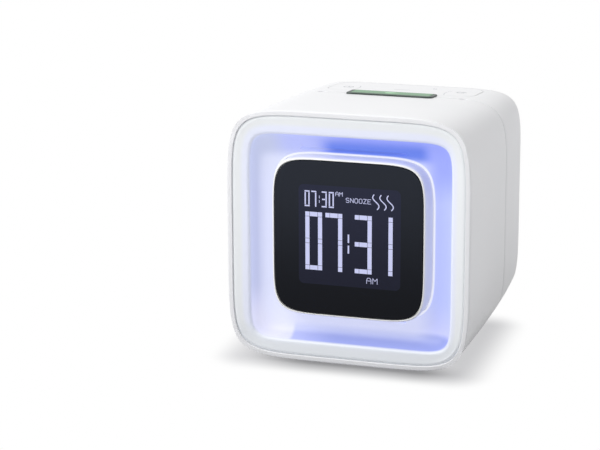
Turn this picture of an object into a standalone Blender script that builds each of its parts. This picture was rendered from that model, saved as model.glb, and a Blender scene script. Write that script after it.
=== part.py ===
"""Scent alarm clock: a small crowned housing with a back-lit trough round a raised display pod, a fan
that blows through a flat scent cartridge, and push buttons at the back.

Everything is modelled in the clock's own frame: X to the right, Y as depth behind the front rim,
Z as height above the body's middle line. One empty leans that frame back, so that the sloping
underside lies level, and stands the clock on its feet with +Z up. Lengths are in metres.
"""

import math

import bmesh
import bpy
from mathutils import Matrix, Vector

# Body outline
BODY_WIDTH = 0.105
BODY_HEIGHT = 0.1078
BODY_DEPTH = 0.118
LEAN = math.radians(3.0)
TOP_SLOPE = math.radians(4.0)
SIDE_TAPER = 0.0042
SIDE_TAPER_POWER = 3.0
FRONT_SQUARENESS = 5.7
REAR_SQUARENESS = 7.8
REAR_ROUND = 0.0115
SHELL_WALL = 0.0024
GAP = 0.0003

# Front rim
LIP_INSET_WIDTH = 0.00227
LIP_INSET_HEIGHT = 0.00244
LIP_SQUARENESS = 7.0
LIP_FLAT = 0.0005
LIP_THICKNESS = 0.0026
RIM_ROLL_DEPTH = 0.0030

# Seam between the sleeve and the rear cover
SEAM_SHARE = 0.57373
SEAM_CHAMFER = 0.00025
TONGUE_LENGTH = 0.0030
TONGUE_WALL = 0.0013

# Light frame: its inner edge, the trough and the air outlets
BORDER_WIDTH = 0.00693
BORDER_HEIGHT = 0.00736
TROUGH_SQUARENESS = 9.5
TROUGH_DEPTH = 0.0102
TROUGH_DROP = 0.0010
FRAME_BORDER_SETBACK = 0.00045
FRAME_WALL = 0.0018
OUTLET_LENGTH = 0.052
OUTLET_HEIGHT = 0.0012
OUTLET_SETBACK = 0.0012

# Display pod and what it holds
TROUGH_WIDTH = 0.01123
TROUGH_HEIGHT = 0.01128
LENS_SQUARENESS = 6.46
LENS_FACE_DEPTH = 0.0020
LENS_THICKNESS = 0.0013
POD_LIP = 0.0008
POD_FLARE = 0.0005
POD_FLOOR = 0.0014
POD_LEDGE = 0.0015
DISPLAY_CENTRE_X = 0.0006
DISPLAY_CENTRE_HEIGHT = 0.0012
LCD_MARGIN_WIDTH = 0.00707
LCD_MARGIN_HEIGHT = 0.00832
LCD_THICKNESS = 0.0026
BACKLIGHT_THICKNESS = 0.0018
DISPLAY_BOARD_MARGIN_WIDTH = 0.0015
DISPLAY_BOARD_MARGIN_HEIGHT = 0.0020
DISPLAY_BOARD_THICKNESS = 0.0016
CONNECTOR_DEPTH = 0.0020
CONNECTOR_WIDTH = 0.0100
CABLE_DROP = 0.0002

# LED ring board
LED_WINDOW_INSET_WIDTH = 0.0053
LED_WINDOW_RISE = 0.0003
LED_BOARD_THICKNESS = 0.0012
LED_LENGTH = 0.0028
LED_WIDTH = 0.0028
LED_HEIGHT = 0.0012
LED_SIDE_ROWS = (-0.030, -0.010, 0.010, 0.030)
LED_TOP_ROWS = (-0.024, 0.024)

# Cartridge
CAP_WIDTH = 0.0415
CAP_THICKNESS = 0.0115
CAP_HEIGHT = 0.0018
CAP_PROUD = 0.0009
CAP_CORNER = 0.0017
CAP_EDGE_ROUND = 0.0004
SPIGOT_HEIGHT = 0.0030
LABEL_MARGIN = 0.0010
LABEL_THICKNESS = 0.0006
CARTRIDGE_TIP_RISE = 0.00607
CARTRIDGE_WIDTH = 0.0386
CARTRIDGE_END_WIDTH = 0.0374
CARTRIDGE_THICKNESS = 0.0094
CARTRIDGE_END_LENGTH = 0.0160
CARTRIDGE_EDGE_ROUND = 0.0011
CARTRIDGE_WALL = 0.0015
ARCH_SQUARENESS = 2.5
GRILLE_START = 0.039
GRILLE_WIDTH = 0.0300
GRILLE_MARGIN = 0.0052
GRILLE_SLOTS = 8
GRILLE_RIB = 0.0011

# Cartridge bay under the slot
BAY_CLEARANCE = 0.0008
BAY_WALL = 0.0014
BAY_WINDOW_MARGIN = 0.0020
SLOT_LEDGE = 0.0008
POCKET_SPAN = 0.0640
POCKET_DIAMETER = 0.0036
POCKET_DEPTH = 0.0008
GROOVE_WIDTH = 0.0009

# Air duct and fan
DUCT_WALL = 0.0014
DUCT_REAR_SQUARENESS = 9.0
FAN_SHARE = 0.37106
FAN_DEPTH = 0.0104
FAN_WALL = 0.0010
FAN_CORNER = 0.0030
FAN_HOLE = 0.0034
FAN_HOLE_INSET = 0.0040
FAN_ARM_WIDTH = 0.0024
FAN_ARM_THICKNESS = 0.0014
FAN_TIP_CLEARANCE = 0.0006
FAN_BLADES = 7
FAN_BLADE_THICKNESS = 0.0009
FAN_BLADE_CHORD = 0.0078
FAN_ROOT_PITCH = math.radians(50)
FAN_TIP_PITCH = math.radians(66)
FAN_HUB_SETBACK = 0.0005
HUB_RADIUS = 0.0096
HUB_LENGTH = 0.0074
HUB_WALL = 0.0010
SHAFT_RADIUS = 0.0010
BEARING_RADIUS = 0.0026
STATOR_RADIUS = 0.0078
STATOR_LENGTH = 0.0042

# Rear cover: screws, intake, buttons and inlet
SCREW_X = 0.0300
SCREW_TOP_HEIGHT = 0.0290
SCREW_LOW_HEIGHT = -0.0330
BOSS_RADIUS = 0.0045
ACCESS_RADIUS = 0.0033
ACCESS_END_DEPTH = 0.0730
SCREW_HEAD_RADIUS = 0.0028
SCREW_HEAD_HEIGHT = 0.0022
SCREW_SHANK_RADIUS = 0.0014
SCREW_LENGTH = 0.0160
SLEEVE_BOSS_LENGTH = 0.0140
BOSS_RIB = 0.0020
INTAKE_SLOTS = 11
INTAKE_PITCH = 0.0040
INTAKE_SLOT_WIDTH = 0.0021
INTAKE_SLOT_SHARE = 0.27829
INTAKE_RISE = 0.00425
BUTTON_RADIUS = 0.0034
BUTTON_PITCH = 0.0130
BUTTON_RISE = 0.0195
BUTTON_TRAVEL = 0.0006
BUTTON_PROUD = 0.0007
BUTTON_FLANGE = 0.0009
BUTTON_STEM_RADIUS = 0.0016
BUTTON_STEM_LENGTH = 0.0028
BUTTON_NAMES = ("button_alarm", "button_clock", "button_minus", "button_plus")
BUTTON_PANEL_WIDTH = 0.0530
BUTTON_PANEL_HEIGHT = 0.0125
BUTTON_PANEL_DEPTH = 0.0009
SWITCH_SIZE = 0.0060
SWITCH_HEIGHT = 0.0035
BUTTON_BOARD_WIDTH = 0.0600
BUTTON_BOARD_HEIGHT = 0.0130
BOARD_THICKNESS = 0.0016
INLET_SIZE = 0.0090
INLET_LENGTH = 0.0140
INLET_BARREL_RADIUS = 0.0035
INLET_BORE_RADIUS = 0.0028
INLET_BORE_DEPTH = 0.0100
INLET_PIN_RADIUS = 0.0010

# Main board, coin cell and speaker
MAIN_BOARD_RISE = 0.0179
MAIN_BOARD_WIDTH = 0.0480
MAIN_BOARD_REAR_GAP = 0.0100
MAIN_BOARD_SETBACK = 0.0063
POST_RADIUS = 0.0024
CELL_RADIUS = 0.0100
CELL_THICKNESS = 0.0032
CELL_X = -0.0110
CHIP_SIZE = 0.0090
HOLDER_WALL = 0.0011
HOLDER_HEIGHT = 0.0042
SPEAKER_RADIUS = 0.0180
SPEAKER_DEPTH = 0.0400
SPEAKER_FLANGE = 0.0012
SPEAKER_BASKET_HEIGHT = 0.0052
MAGNET_RADIUS = 0.0100
MAGNET_HEIGHT = 0.0050
CONE_THICKNESS = 0.0006
SPEAKER_SLOTS = 7
SPEAKER_SLOT_PITCH = 0.0038
SPEAKER_SLOT_WIDTH = 0.0018

# Touch panel on the top
TOUCH_WIDTH = 0.0672
TOUCH_SETBACK = 0.0085
TOUCH_REAR_GAP = 0.0128
TOUCH_CORNER = 0.0080
TOUCH_THICKNESS = 0.0014
TOUCH_BOARD_THICKNESS = 0.0010
TOUCH_BOARD_MARGIN = 0.0045

# Feet
FOOT_RADIUS = 0.0055
FOOT_STAND = 0.0014
FOOT_RECESS = 0.0010
FOOT_X = 0.0320
FOOT_FRONT_INSET = 0.0150
FOOT_REAR_INSET = 0.0220

# Fineness
QUARTER_STEPS = 8
ROUND_STEPS = 20
SMALL_STEPS = 12
CUTTER_SPIN = math.radians(7)

# Values that follow from the ones above
UNDER_TAPER = BODY_DEPTH * math.tan(LEAN)
TOP_TAPER = BODY_DEPTH * math.tan(TOP_SLOPE)
BACK_INNER_DEPTH = BODY_DEPTH - SHELL_WALL
SEAM_DEPTH = SEAM_SHARE * BODY_DEPTH
LIP_HALF_WIDTH = BODY_WIDTH / 2 - LIP_INSET_WIDTH
LIP_HALF_HEIGHT = BODY_HEIGHT / 2 - LIP_INSET_HEIGHT
TROUGH_HALF_WIDTH = LIP_HALF_WIDTH - BORDER_WIDTH
TROUGH_HALF_HEIGHT = LIP_HALF_HEIGHT - BORDER_HEIGHT
LENS_HALF_WIDTH = TROUGH_HALF_WIDTH - TROUGH_WIDTH
LENS_HALF_HEIGHT = TROUGH_HALF_HEIGHT - TROUGH_HEIGHT
LCD_WIDTH = 2 * (LENS_HALF_WIDTH - LCD_MARGIN_WIDTH)
LCD_HEIGHT = 2 * (LENS_HALF_HEIGHT - LCD_MARGIN_HEIGHT)
DISPLAY_BOARD_WIDTH = LCD_WIDTH + 2 * DISPLAY_BOARD_MARGIN_WIDTH
DISPLAY_BOARD_HEIGHT = LCD_HEIGHT + 2 * DISPLAY_BOARD_MARGIN_HEIGHT
CABLE_HEIGHT = DISPLAY_CENTRE_HEIGHT - DISPLAY_BOARD_HEIGHT / 2 - CABLE_DROP
LED_WINDOW_HALF_WIDTH = TROUGH_HALF_WIDTH - LED_WINDOW_INSET_WIDTH
LED_WINDOW_HALF_HEIGHT = TROUGH_HALF_HEIGHT + LED_WINDOW_RISE
FAN_SIZE = FAN_SHARE * BODY_HEIGHT
FAN_BORE = FAN_SIZE - 2 * FAN_WALL
FAN_HOLE_PITCH = FAN_SIZE - 2 * FAN_HOLE_INSET
BAY_WINDOW = FAN_BORE - 2 * BAY_WINDOW_MARGIN
MAIN_BOARD_TOP = MAIN_BOARD_RISE - BODY_HEIGHT / 2
MAIN_BOARD_FRONT = SEAM_DEPTH + MAIN_BOARD_SETBACK
MAIN_BOARD_DEPTH = BODY_DEPTH - MAIN_BOARD_REAR_GAP - MAIN_BOARD_FRONT
BUTTON_HEIGHT = MAIN_BOARD_TOP + BUTTON_RISE
INTAKE_SLOT_LENGTH = INTAKE_SLOT_SHARE * BODY_HEIGHT
INTAKE_HEIGHT = BUTTON_HEIGHT + BUTTON_PANEL_HEIGHT / 2 + INTAKE_RISE + INTAKE_SLOT_LENGTH / 2
TOUCH_FRONT_DEPTH = SEAM_DEPTH + TOUCH_SETBACK
TOUCH_REAR_DEPTH = BODY_DEPTH - TOUCH_REAR_GAP
FOOT_DEPTHS = {"front": FOOT_FRONT_INSET, "rear": BODY_DEPTH - FOOT_REAR_INSET}
FRAME_HALF_WIDTH = LIP_HALF_WIDTH - GAP
FRAME_HALF_HEIGHT = LIP_HALF_HEIGHT - GAP
FRAME_BACK_DEPTH = TROUGH_DEPTH + FRAME_WALL
POD_BASE_HALF_WIDTH = LENS_HALF_WIDTH + GAP + POD_LIP + POD_FLARE
POD_BASE_HALF_HEIGHT = LENS_HALF_HEIGHT + GAP + POD_LIP + POD_FLARE
POD_BACK_DEPTH = FRAME_BACK_DEPTH
OUTLET_MIDDLE = POD_BASE_HALF_HEIGHT + GAP + OUTLET_SETBACK
POD_FLOOR_DEPTH = POD_BACK_DEPTH - POD_FLOOR
LCD_DEPTH = LENS_FACE_DEPTH + LENS_THICKNESS + GAP
BACKLIGHT_DEPTH = LCD_DEPTH + LCD_THICKNESS + GAP
DISPLAY_BOARD_DEPTH = BACKLIGHT_DEPTH + BACKLIGHT_THICKNESS + GAP
DUCT_FRONT_DEPTH = FRAME_BACK_DEPTH + GAP
BAY_INNER_WIDTH = CARTRIDGE_WIDTH + 2 * BAY_CLEARANCE
BAY_INNER_THICKNESS = CARTRIDGE_THICKNESS + 2 * BAY_CLEARANCE
BAY_WIDTH = BAY_INNER_WIDTH + 2 * BAY_WALL
BAY_THICKNESS = BAY_INNER_THICKNESS + 2 * BAY_WALL
BAY_FRONT_DEPTH = SEAM_DEPTH - BAY_THICKNESS / 2
BAY_REAR_DEPTH = SEAM_DEPTH + BAY_THICKNESS / 2
DUCT_REAR_DEPTH = BAY_FRONT_DEPTH - GAP
FAN_FRONT_DEPTH = BAY_REAR_DEPTH + GAP
FAN_REAR_DEPTH = FAN_FRONT_DEPTH + FAN_DEPTH
PANEL_FLOOR_DEPTH = BODY_DEPTH - BUTTON_PANEL_DEPTH
BUTTON_FACE_DEPTH = PANEL_FLOOR_DEPTH + BUTTON_PROUD
BUTTON_FLANGE_DEPTH = BACK_INNER_DEPTH - GAP
BUTTON_STEM_DEPTH = BUTTON_FLANGE_DEPTH - BUTTON_FLANGE - BUTTON_STEM_LENGTH
SWITCH_TOP_DEPTH = BUTTON_STEM_DEPTH - BUTTON_TRAVEL - GAP / 2
BUTTON_BOARD_DEPTH = SWITCH_TOP_DEPTH - SWITCH_HEIGHT - BOARD_THICKNESS


def section(depth, inset=0.0):
    """Half width, half height, middle height and squareness of the body at a depth."""
    share = depth / BODY_DEPTH
    half_width = BODY_WIDTH / 2 - SIDE_TAPER * share ** SIDE_TAPER_POWER
    top = BODY_HEIGHT / 2 - TOP_TAPER * share
    under = BODY_HEIGHT / 2 - UNDER_TAPER * share
    squareness = FRONT_SQUARENESS + (REAR_SQUARENESS - FRONT_SQUARENESS) * share
    return half_width - inset, (top + under) / 2 - inset, (top - under) / 2, squareness


def surface_height(x, depth, side=1):
    """Height of the body's top (side 1) or underside (side -1) above a point."""
    half_width, half_height, middle, squareness = section(depth)
    return middle + side * half_height * (1 - abs(x / half_width) ** squareness) ** (1 / squareness)


def ring_angles():
    """Angles round a ring, closer together in the corners, the same in every quarter."""
    quarter = []
    for step in range(QUARTER_STEPS):
        s = 2 * step / QUARTER_STEPS - 1
        quarter.append(math.radians(45 + 45 * (0.42 * s + 0.58 * s ** 3)))
    return [turn * math.pi / 2 + angle for turn in range(4) for angle in quarter]


RING_ANGLES = ring_angles()


def ring(depth, half_width, half_height, squareness, middle=0.0):
    """A rounded-square ring of points, counter-clockwise as seen from the front."""
    points = []
    for angle in RING_ANGLES:
        c = math.cos(angle)
        s = math.sin(angle)
        reach = (abs(c) ** squareness + abs(s) ** squareness) ** (-1 / squareness)
        points.append(Vector((half_width * reach * c, depth, middle + half_height * reach * s)))
    return points


def body_ring(depth, inset=0.0):
    half_width, half_height, middle, squareness = section(depth, inset)
    return ring(depth, half_width, half_height, squareness, middle)


def collection(name):
    found = bpy.data.collections.new(name)
    bpy.context.scene.collection.children.link(found)
    return found


def material(name, colour, roughness, metallic=0.0):
    made = bpy.data.materials.new(name)
    made.use_nodes = True
    shader = made.node_tree.nodes["Principled BSDF"]
    shader.inputs["Base Color"].default_value = (*colour, 1.0)
    shader.inputs["Roughness"].default_value = roughness
    shader.inputs["Metallic"].default_value = metallic
    return made


def place(obj, finish, home):
    """Files an object in its collection, under the leaning frame, with its material."""
    home.objects.link(obj)
    obj.parent = lean_frame
    if finish is not None:
        obj.data.materials.append(finish)
    return obj


def as_cutter(obj):
    obj.hide_render = True
    obj.display_type = "WIRE"
    return obj


def mesh_object(name, mesh, finish=None, home=None):
    obj = bpy.data.objects.new(name, mesh)
    return place(obj, finish, home or parts)


def smooth(obj, degrees=35):
    obj.data.shade_smooth()
    obj.data.set_sharp_from_angle(angle=math.radians(degrees))
    return obj


def loft(name, rings, finish=None, home=None, closed=False, capped=False):
    """Skins a run of rings. Depth grows along an outer side and shrinks along an inner one."""
    mesh = bpy.data.meshes.new(name)
    bm = bmesh.new()
    rows = [[bm.verts.new(point) for point in points] for points in rings]
    pairs = list(zip(rows, rows[1:]))
    if closed:
        pairs.append((rows[-1], rows[0]))
    count = len(rows[0])
    for first, second in pairs:
        for k in range(count):
            n = (k + 1) % count
            bm.faces.new((first[k], second[k], second[n], first[n]))
    if capped:
        bm.faces.new(rows[0])
        bm.faces.new(list(reversed(rows[-1])))
    bm.to_mesh(mesh)
    bm.free()
    return smooth(mesh_object(name, mesh, finish, home))


def rounded_outline(width, height, corner, steps=5, middle=(0.0, 0.0)):
    """Points of a rectangle with round corners, counter-clockwise."""
    points = []
    for turn in range(4):
        sx = (1, -1, -1, 1)[turn]
        sy = (1, 1, -1, -1)[turn]
        cx = middle[0] + sx * (width / 2 - corner)
        cy = middle[1] + sy * (height / 2 - corner)
        for step in range(steps + 1):
            angle = (turn + step / steps) * math.pi / 2
            points.append((cx + corner * math.cos(angle), cy + corner * math.sin(angle)))
    return points


def sheet(name, outline, thickness, finish=None, home=None, facing="front", at=(0, 0, 0), holes=()):
    """A flat plate cut to an outline. Facing front it stands up, facing up it lies down."""
    curve = bpy.data.curves.new(name, "CURVE")
    curve.dimensions = "2D"
    curve.fill_mode = "BOTH"
    curve.extrude = thickness / 2
    for points in (outline, *holes):
        spline = curve.splines.new("POLY")
        spline.points.add(len(points) - 1)
        for point, (u, v) in zip(spline.points, points):
            point.co = (u, v, 0, 1)
        spline.use_cyclic_u = True
    shape = bpy.data.objects.new(name + "_outline", curve)
    bpy.context.scene.collection.objects.link(shape)
    shape.location = at
    if facing == "front":
        shape.rotation_euler = (math.pi / 2, 0, 0)
    bpy.context.view_layer.update()
    seen = shape.evaluated_get(bpy.context.evaluated_depsgraph_get())
    mesh = bpy.data.meshes.new_from_object(seen)
    mesh.transform(shape.matrix_world)
    bpy.data.objects.remove(shape)
    mesh.name = name
    weld(mesh)
    return mesh_object(name, mesh, finish, home)


def weld(mesh, distance=1e-6):
    bm = bmesh.new()
    bm.from_mesh(mesh)
    bmesh.ops.remove_doubles(bm, verts=bm.verts, dist=distance)
    bmesh.ops.recalc_face_normals(bm, faces=bm.faces)
    bm.to_mesh(mesh)
    bm.free()


def block(name, low, high, finish=None, home=None, bevel=0.0):
    """A box between two corners in the clock's frame."""
    mesh = bpy.data.meshes.new(name)
    bm = bmesh.new()
    bmesh.ops.create_cube(bm, size=1.0)
    size = Vector(high) - Vector(low)
    middle = (Vector(high) + Vector(low)) / 2
    bmesh.ops.transform(bm, matrix=Matrix.Translation(middle) @ Matrix.Diagonal((*size, 1)), verts=bm.verts)
    bm.to_mesh(mesh)
    bm.free()
    obj = mesh_object(name, mesh, finish, home)
    if bevel:
        add_bevel(obj, bevel)
    return obj


def add_bevel(obj, width, segments=2):
    edge = obj.modifiers.new("soft_edges", "BEVEL")
    edge.width = width
    edge.segments = segments
    edge.limit_method = "ANGLE"
    edge.angle_limit = math.radians(40)
    return obj


def turned(
    name, profile, at, towards="back", finish=None, home=None, steps=ROUND_STEPS, lean=0.0, spin=0.0
):
    """Turns a profile of (radius, distance) pairs, listed down its outer side, about its axis.

    Distances run along the axis: towards the back, the front, or up. A profile that ends where it
    starts makes a ring. A spin keeps the facets of a coaxial cutter clear of those it cuts.
    """
    mesh = bpy.data.meshes.new(name)
    bm = bmesh.new()
    looped = profile[0] == profile[-1]
    points = profile[:-1] if looped else profile
    verts = [bm.verts.new((r * math.cos(spin), r * math.sin(spin), along)) for r, along in points]
    for first, second in zip(verts, verts[1:] + verts[:1] if looped else verts[1:]):
        bm.edges.new((first, second))
    bm.to_mesh(mesh)
    bm.free()
    obj = mesh_object(name, mesh, finish, home)
    obj.location = at
    turns = {"back": -math.pi / 2, "front": math.pi / 2, "up": 0.0}
    obj.rotation_euler = (turns[towards] + lean, 0, 0)
    screw = obj.modifiers.new("turn", "SCREW")
    screw.steps = steps
    screw.render_steps = steps
    screw.use_merge_vertices = True
    screw.merge_threshold = 1e-6
    screw.use_smooth_shade = True
    return obj


def rod(
    name,
    radius,
    start,
    length,
    towards="back",
    finish=None,
    home=None,
    steps=SMALL_STEPS,
    lean=0.0,
    spin=0.0,
):
    profile = [(0, length), (radius, length), (radius, 0), (0, 0)]
    return turned(name, profile, start, towards, finish, home, steps, lean, spin)


def combine(target, tool, operation="DIFFERENCE"):
    change = target.modifiers.new(operation.lower() + "_" + tool.name, "BOOLEAN")
    change.operation = operation
    change.object = tool
    change.solver = "EXACT"
    return target


def cut(target, *tools):
    for tool in tools:
        combine(target, as_cutter(tool))
    return target


def join(target, *tools):
    for tool in tools:
        combine(target, as_cutter(tool), "UNION")
    return target


# Collections and the leaning frame
for stale in list(bpy.data.objects):
    bpy.data.objects.remove(stale)

parts = collection("scent_alarm_clock")
cutters = collection("cutters")
lean_frame = bpy.data.objects.new("lean_frame", None)
parts.objects.link(lean_frame)

WHITE = material("white_shell", (0.86, 0.86, 0.88), 0.42)
CLEAR_WHITE = material("light_frame", (0.74, 0.78, 0.95), 0.38)
SATIN = material("pod_satin", (0.80, 0.82, 0.86), 0.30)
BLACK_GLOSS = material("black_window", (0.010, 0.012, 0.018), 0.08)
LCD_DARK = material("lcd_glass", (0.018, 0.022, 0.050), 0.15)
LIGHT_GUIDE = material("light_guide", (0.75, 0.76, 0.85), 0.25)
BOARD = material("circuit_board", (0.02, 0.14, 0.06), 0.45)
DUCT_GREY = material("duct_plastic", (0.30, 0.31, 0.33), 0.55)
CARTRIDGE_GREY = material("cartridge_grey", (0.22, 0.24, 0.27), 0.48)
CAP_DARK = material("cap_dark", (0.05, 0.08, 0.07), 0.45)
GREEN = material("label_green", (0.18, 0.53, 0.23), 0.40)
POROUS = material("scent_block", (0.05, 0.05, 0.06), 0.95)
FAN_BLACK = material("fan_black", (0.02, 0.02, 0.022), 0.45)
COPPER = material("copper_coils", (0.55, 0.27, 0.12), 0.35, 1.0)
STEEL = material("zinc_steel", (0.60, 0.61, 0.62), 0.35, 1.0)
BLACK_PLASTIC = material("black_plastic", (0.02, 0.02, 0.022), 0.50)
BUTTON_GREY = material("button_grey", (0.55, 0.56, 0.58), 0.45)
RUBBER = material("foot_rubber", (0.03, 0.03, 0.032), 0.80)
PAPER = material("speaker_paper", (0.04, 0.04, 0.045), 0.85)


def sleeve_outer_rings():
    """The rolled front rim, then the crowned outside back to the seam."""
    flat_width = LIP_HALF_WIDTH + LIP_FLAT
    flat_height = LIP_HALF_HEIGHT + LIP_FLAT
    rings = [ring(0.0, LIP_HALF_WIDTH, LIP_HALF_HEIGHT, LIP_SQUARENESS)]
    roll_steps = 4
    for step in range(roll_steps + 1):
        angle = math.pi / 2 * step / roll_steps
        depth = RIM_ROLL_DEPTH * (1 - math.cos(angle))
        half_width, half_height, middle, squareness = section(depth)
        blend = math.sin(angle)
        rings.append(ring(
            depth,
            flat_width + (half_width - flat_width) * blend,
            flat_height + (half_height - flat_height) * blend,
            LIP_SQUARENESS + (squareness - LIP_SQUARENESS) * blend,
            middle * blend,
        ))
    stretch = SEAM_DEPTH - GAP / 2 - SEAM_CHAMFER - RIM_ROLL_DEPTH
    rings += [body_ring(RIM_ROLL_DEPTH + stretch * k / 5) for k in range(1, 6)]
    return rings


def cover_outer_rings():
    """From the seam back along the outside and round onto the back."""
    start = SEAM_DEPTH + GAP / 2 + SEAM_CHAMFER
    round_start = BODY_DEPTH - REAR_ROUND
    rings = [body_ring(start + (round_start - start) * k / 3) for k in range(3)]
    round_steps = 5
    for step in range(round_steps + 1):
        angle = math.pi / 2 * step / round_steps
        depth = round_start + REAR_ROUND * math.sin(angle)
        rings.append(body_ring(depth, REAR_ROUND * (1 - math.cos(angle))))
    return rings


def make_sleeve():
    front_inner = LIP_THICKNESS
    rings = sleeve_outer_rings()
    rings.append(body_ring(SEAM_DEPTH - GAP / 2, SEAM_CHAMFER))
    rings.append(body_ring(SEAM_DEPTH - GAP / 2, SHELL_WALL))
    rings.append(body_ring(SEAM_DEPTH / 2, SHELL_WALL))
    rings.append(body_ring(front_inner + SHELL_WALL, SHELL_WALL))
    rings.append(ring(front_inner, LIP_HALF_WIDTH, LIP_HALF_HEIGHT, LIP_SQUARENESS))
    return loft("housing_sleeve", rings, WHITE, closed=True)


def make_cover():
    inner_round = REAR_ROUND - SHELL_WALL
    round_start = BODY_DEPTH - REAR_ROUND
    rings = []
    round_steps = 3
    for step in range(round_steps, -1, -1):
        angle = math.pi / 2 * step / round_steps
        inset = SHELL_WALL + inner_round * (1 - math.cos(angle))
        rings.append(body_ring(round_start + inner_round * math.sin(angle), inset))
    tongue_outer = SHELL_WALL + GAP
    tongue_inner = tongue_outer + TONGUE_WALL
    rings.append(body_ring((round_start + SEAM_DEPTH) / 2, SHELL_WALL))
    rings.append(body_ring(SEAM_DEPTH + 2 * TONGUE_WALL, SHELL_WALL))
    rings.append(body_ring(SEAM_DEPTH + TONGUE_WALL, tongue_inner))
    rings.append(body_ring(SEAM_DEPTH - TONGUE_LENGTH, tongue_inner))
    rings.append(body_ring(SEAM_DEPTH - TONGUE_LENGTH, tongue_outer))
    rings.append(body_ring(SEAM_DEPTH + GAP / 2, tongue_outer))
    rings.append(body_ring(SEAM_DEPTH + GAP / 2, SEAM_CHAMFER))
    rings += cover_outer_rings()
    return loft("rear_cover", rings, WHITE, capped=True)


# The housing
sleeve = make_sleeve()
cover = make_cover()

# The leaning frame stands the clock on the floor, with its box centred on the origin
outer_points = [p for points in sleeve_outer_rings() + cover_outer_rings() for p in points]
reaches = [p.y * math.cos(LEAN) + p.z * math.sin(LEAN) for p in outer_points]
lean_frame.rotation_euler = (-LEAN, 0, 0)
lean_frame.location = (
    0,
    -(min(reaches) + max(reaches)) / 2,
    BODY_HEIGHT / 2 * math.cos(LEAN) + FOOT_STAND,
)


def leaf(name, *args, **options):
    """A cutter made as a sheet."""
    return sheet(name, *args, home=cutters, **options)


# The cartridge slot lies on the seam, with a ledge that the cap rests on
deck_height = surface_height(0, SEAM_DEPTH)
cap_top = deck_height + CAP_PROUD
cap_bottom = cap_top - CAP_HEIGHT
ledge_height = cap_bottom - GAP
above = BODY_HEIGHT / 2
slot_upper = leaf(
    "slot_upper",
    rounded_outline(CAP_WIDTH + 2 * GAP, CAP_THICKNESS + 2 * GAP, CAP_CORNER + GAP),
    above - ledge_height,
    facing="up",
    at=(0, SEAM_DEPTH, (above + ledge_height) / 2),
)
slot_lower = leaf(
    "slot_lower",
    rounded_outline(BAY_INNER_WIDTH, BAY_INNER_THICKNESS, CAP_CORNER),
    2 * SHELL_WALL,
    facing="up",
    at=(0, SEAM_DEPTH, ledge_height - SHELL_WALL / 2),
)
notch_half = BAY_WIDTH / 2 + 2 * GAP
tongue_notch = block(
    "tongue_notch",
    (-notch_half, SEAM_DEPTH - 2 * TONGUE_LENGTH, deck_height - 4 * SHELL_WALL),
    (notch_half, SEAM_DEPTH + GAP, ledge_height - SLOT_LEDGE),
    home=cutters,
)
tongue_root_notch = block(
    "tongue_root_notch",
    (-notch_half, SEAM_DEPTH, deck_height - 4 * SHELL_WALL),
    (notch_half, BAY_REAR_DEPTH, surface_height(0, SEAM_DEPTH + 2 * TONGUE_WALL) - SHELL_WALL),
    home=cutters,
)
groove = block(
    "seam_groove",
    (-POCKET_SPAN / 2, SEAM_DEPTH - GROOVE_WIDTH / 2, deck_height - POCKET_DEPTH),
    (POCKET_SPAN / 2, SEAM_DEPTH + GROOVE_WIDTH / 2, above),
    home=cutters,
)
pockets = [
    rod(
        "pocket_" + side,
        POCKET_DIAMETER / 2,
        (x, SEAM_DEPTH, surface_height(x, SEAM_DEPTH) - POCKET_DEPTH),
        above - deck_height + 4 * POCKET_DEPTH,
        towards="up",
        home=cutters,
    )
    for side, x in (("left", -POCKET_SPAN / 2), ("right", POCKET_SPAN / 2))
]

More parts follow.
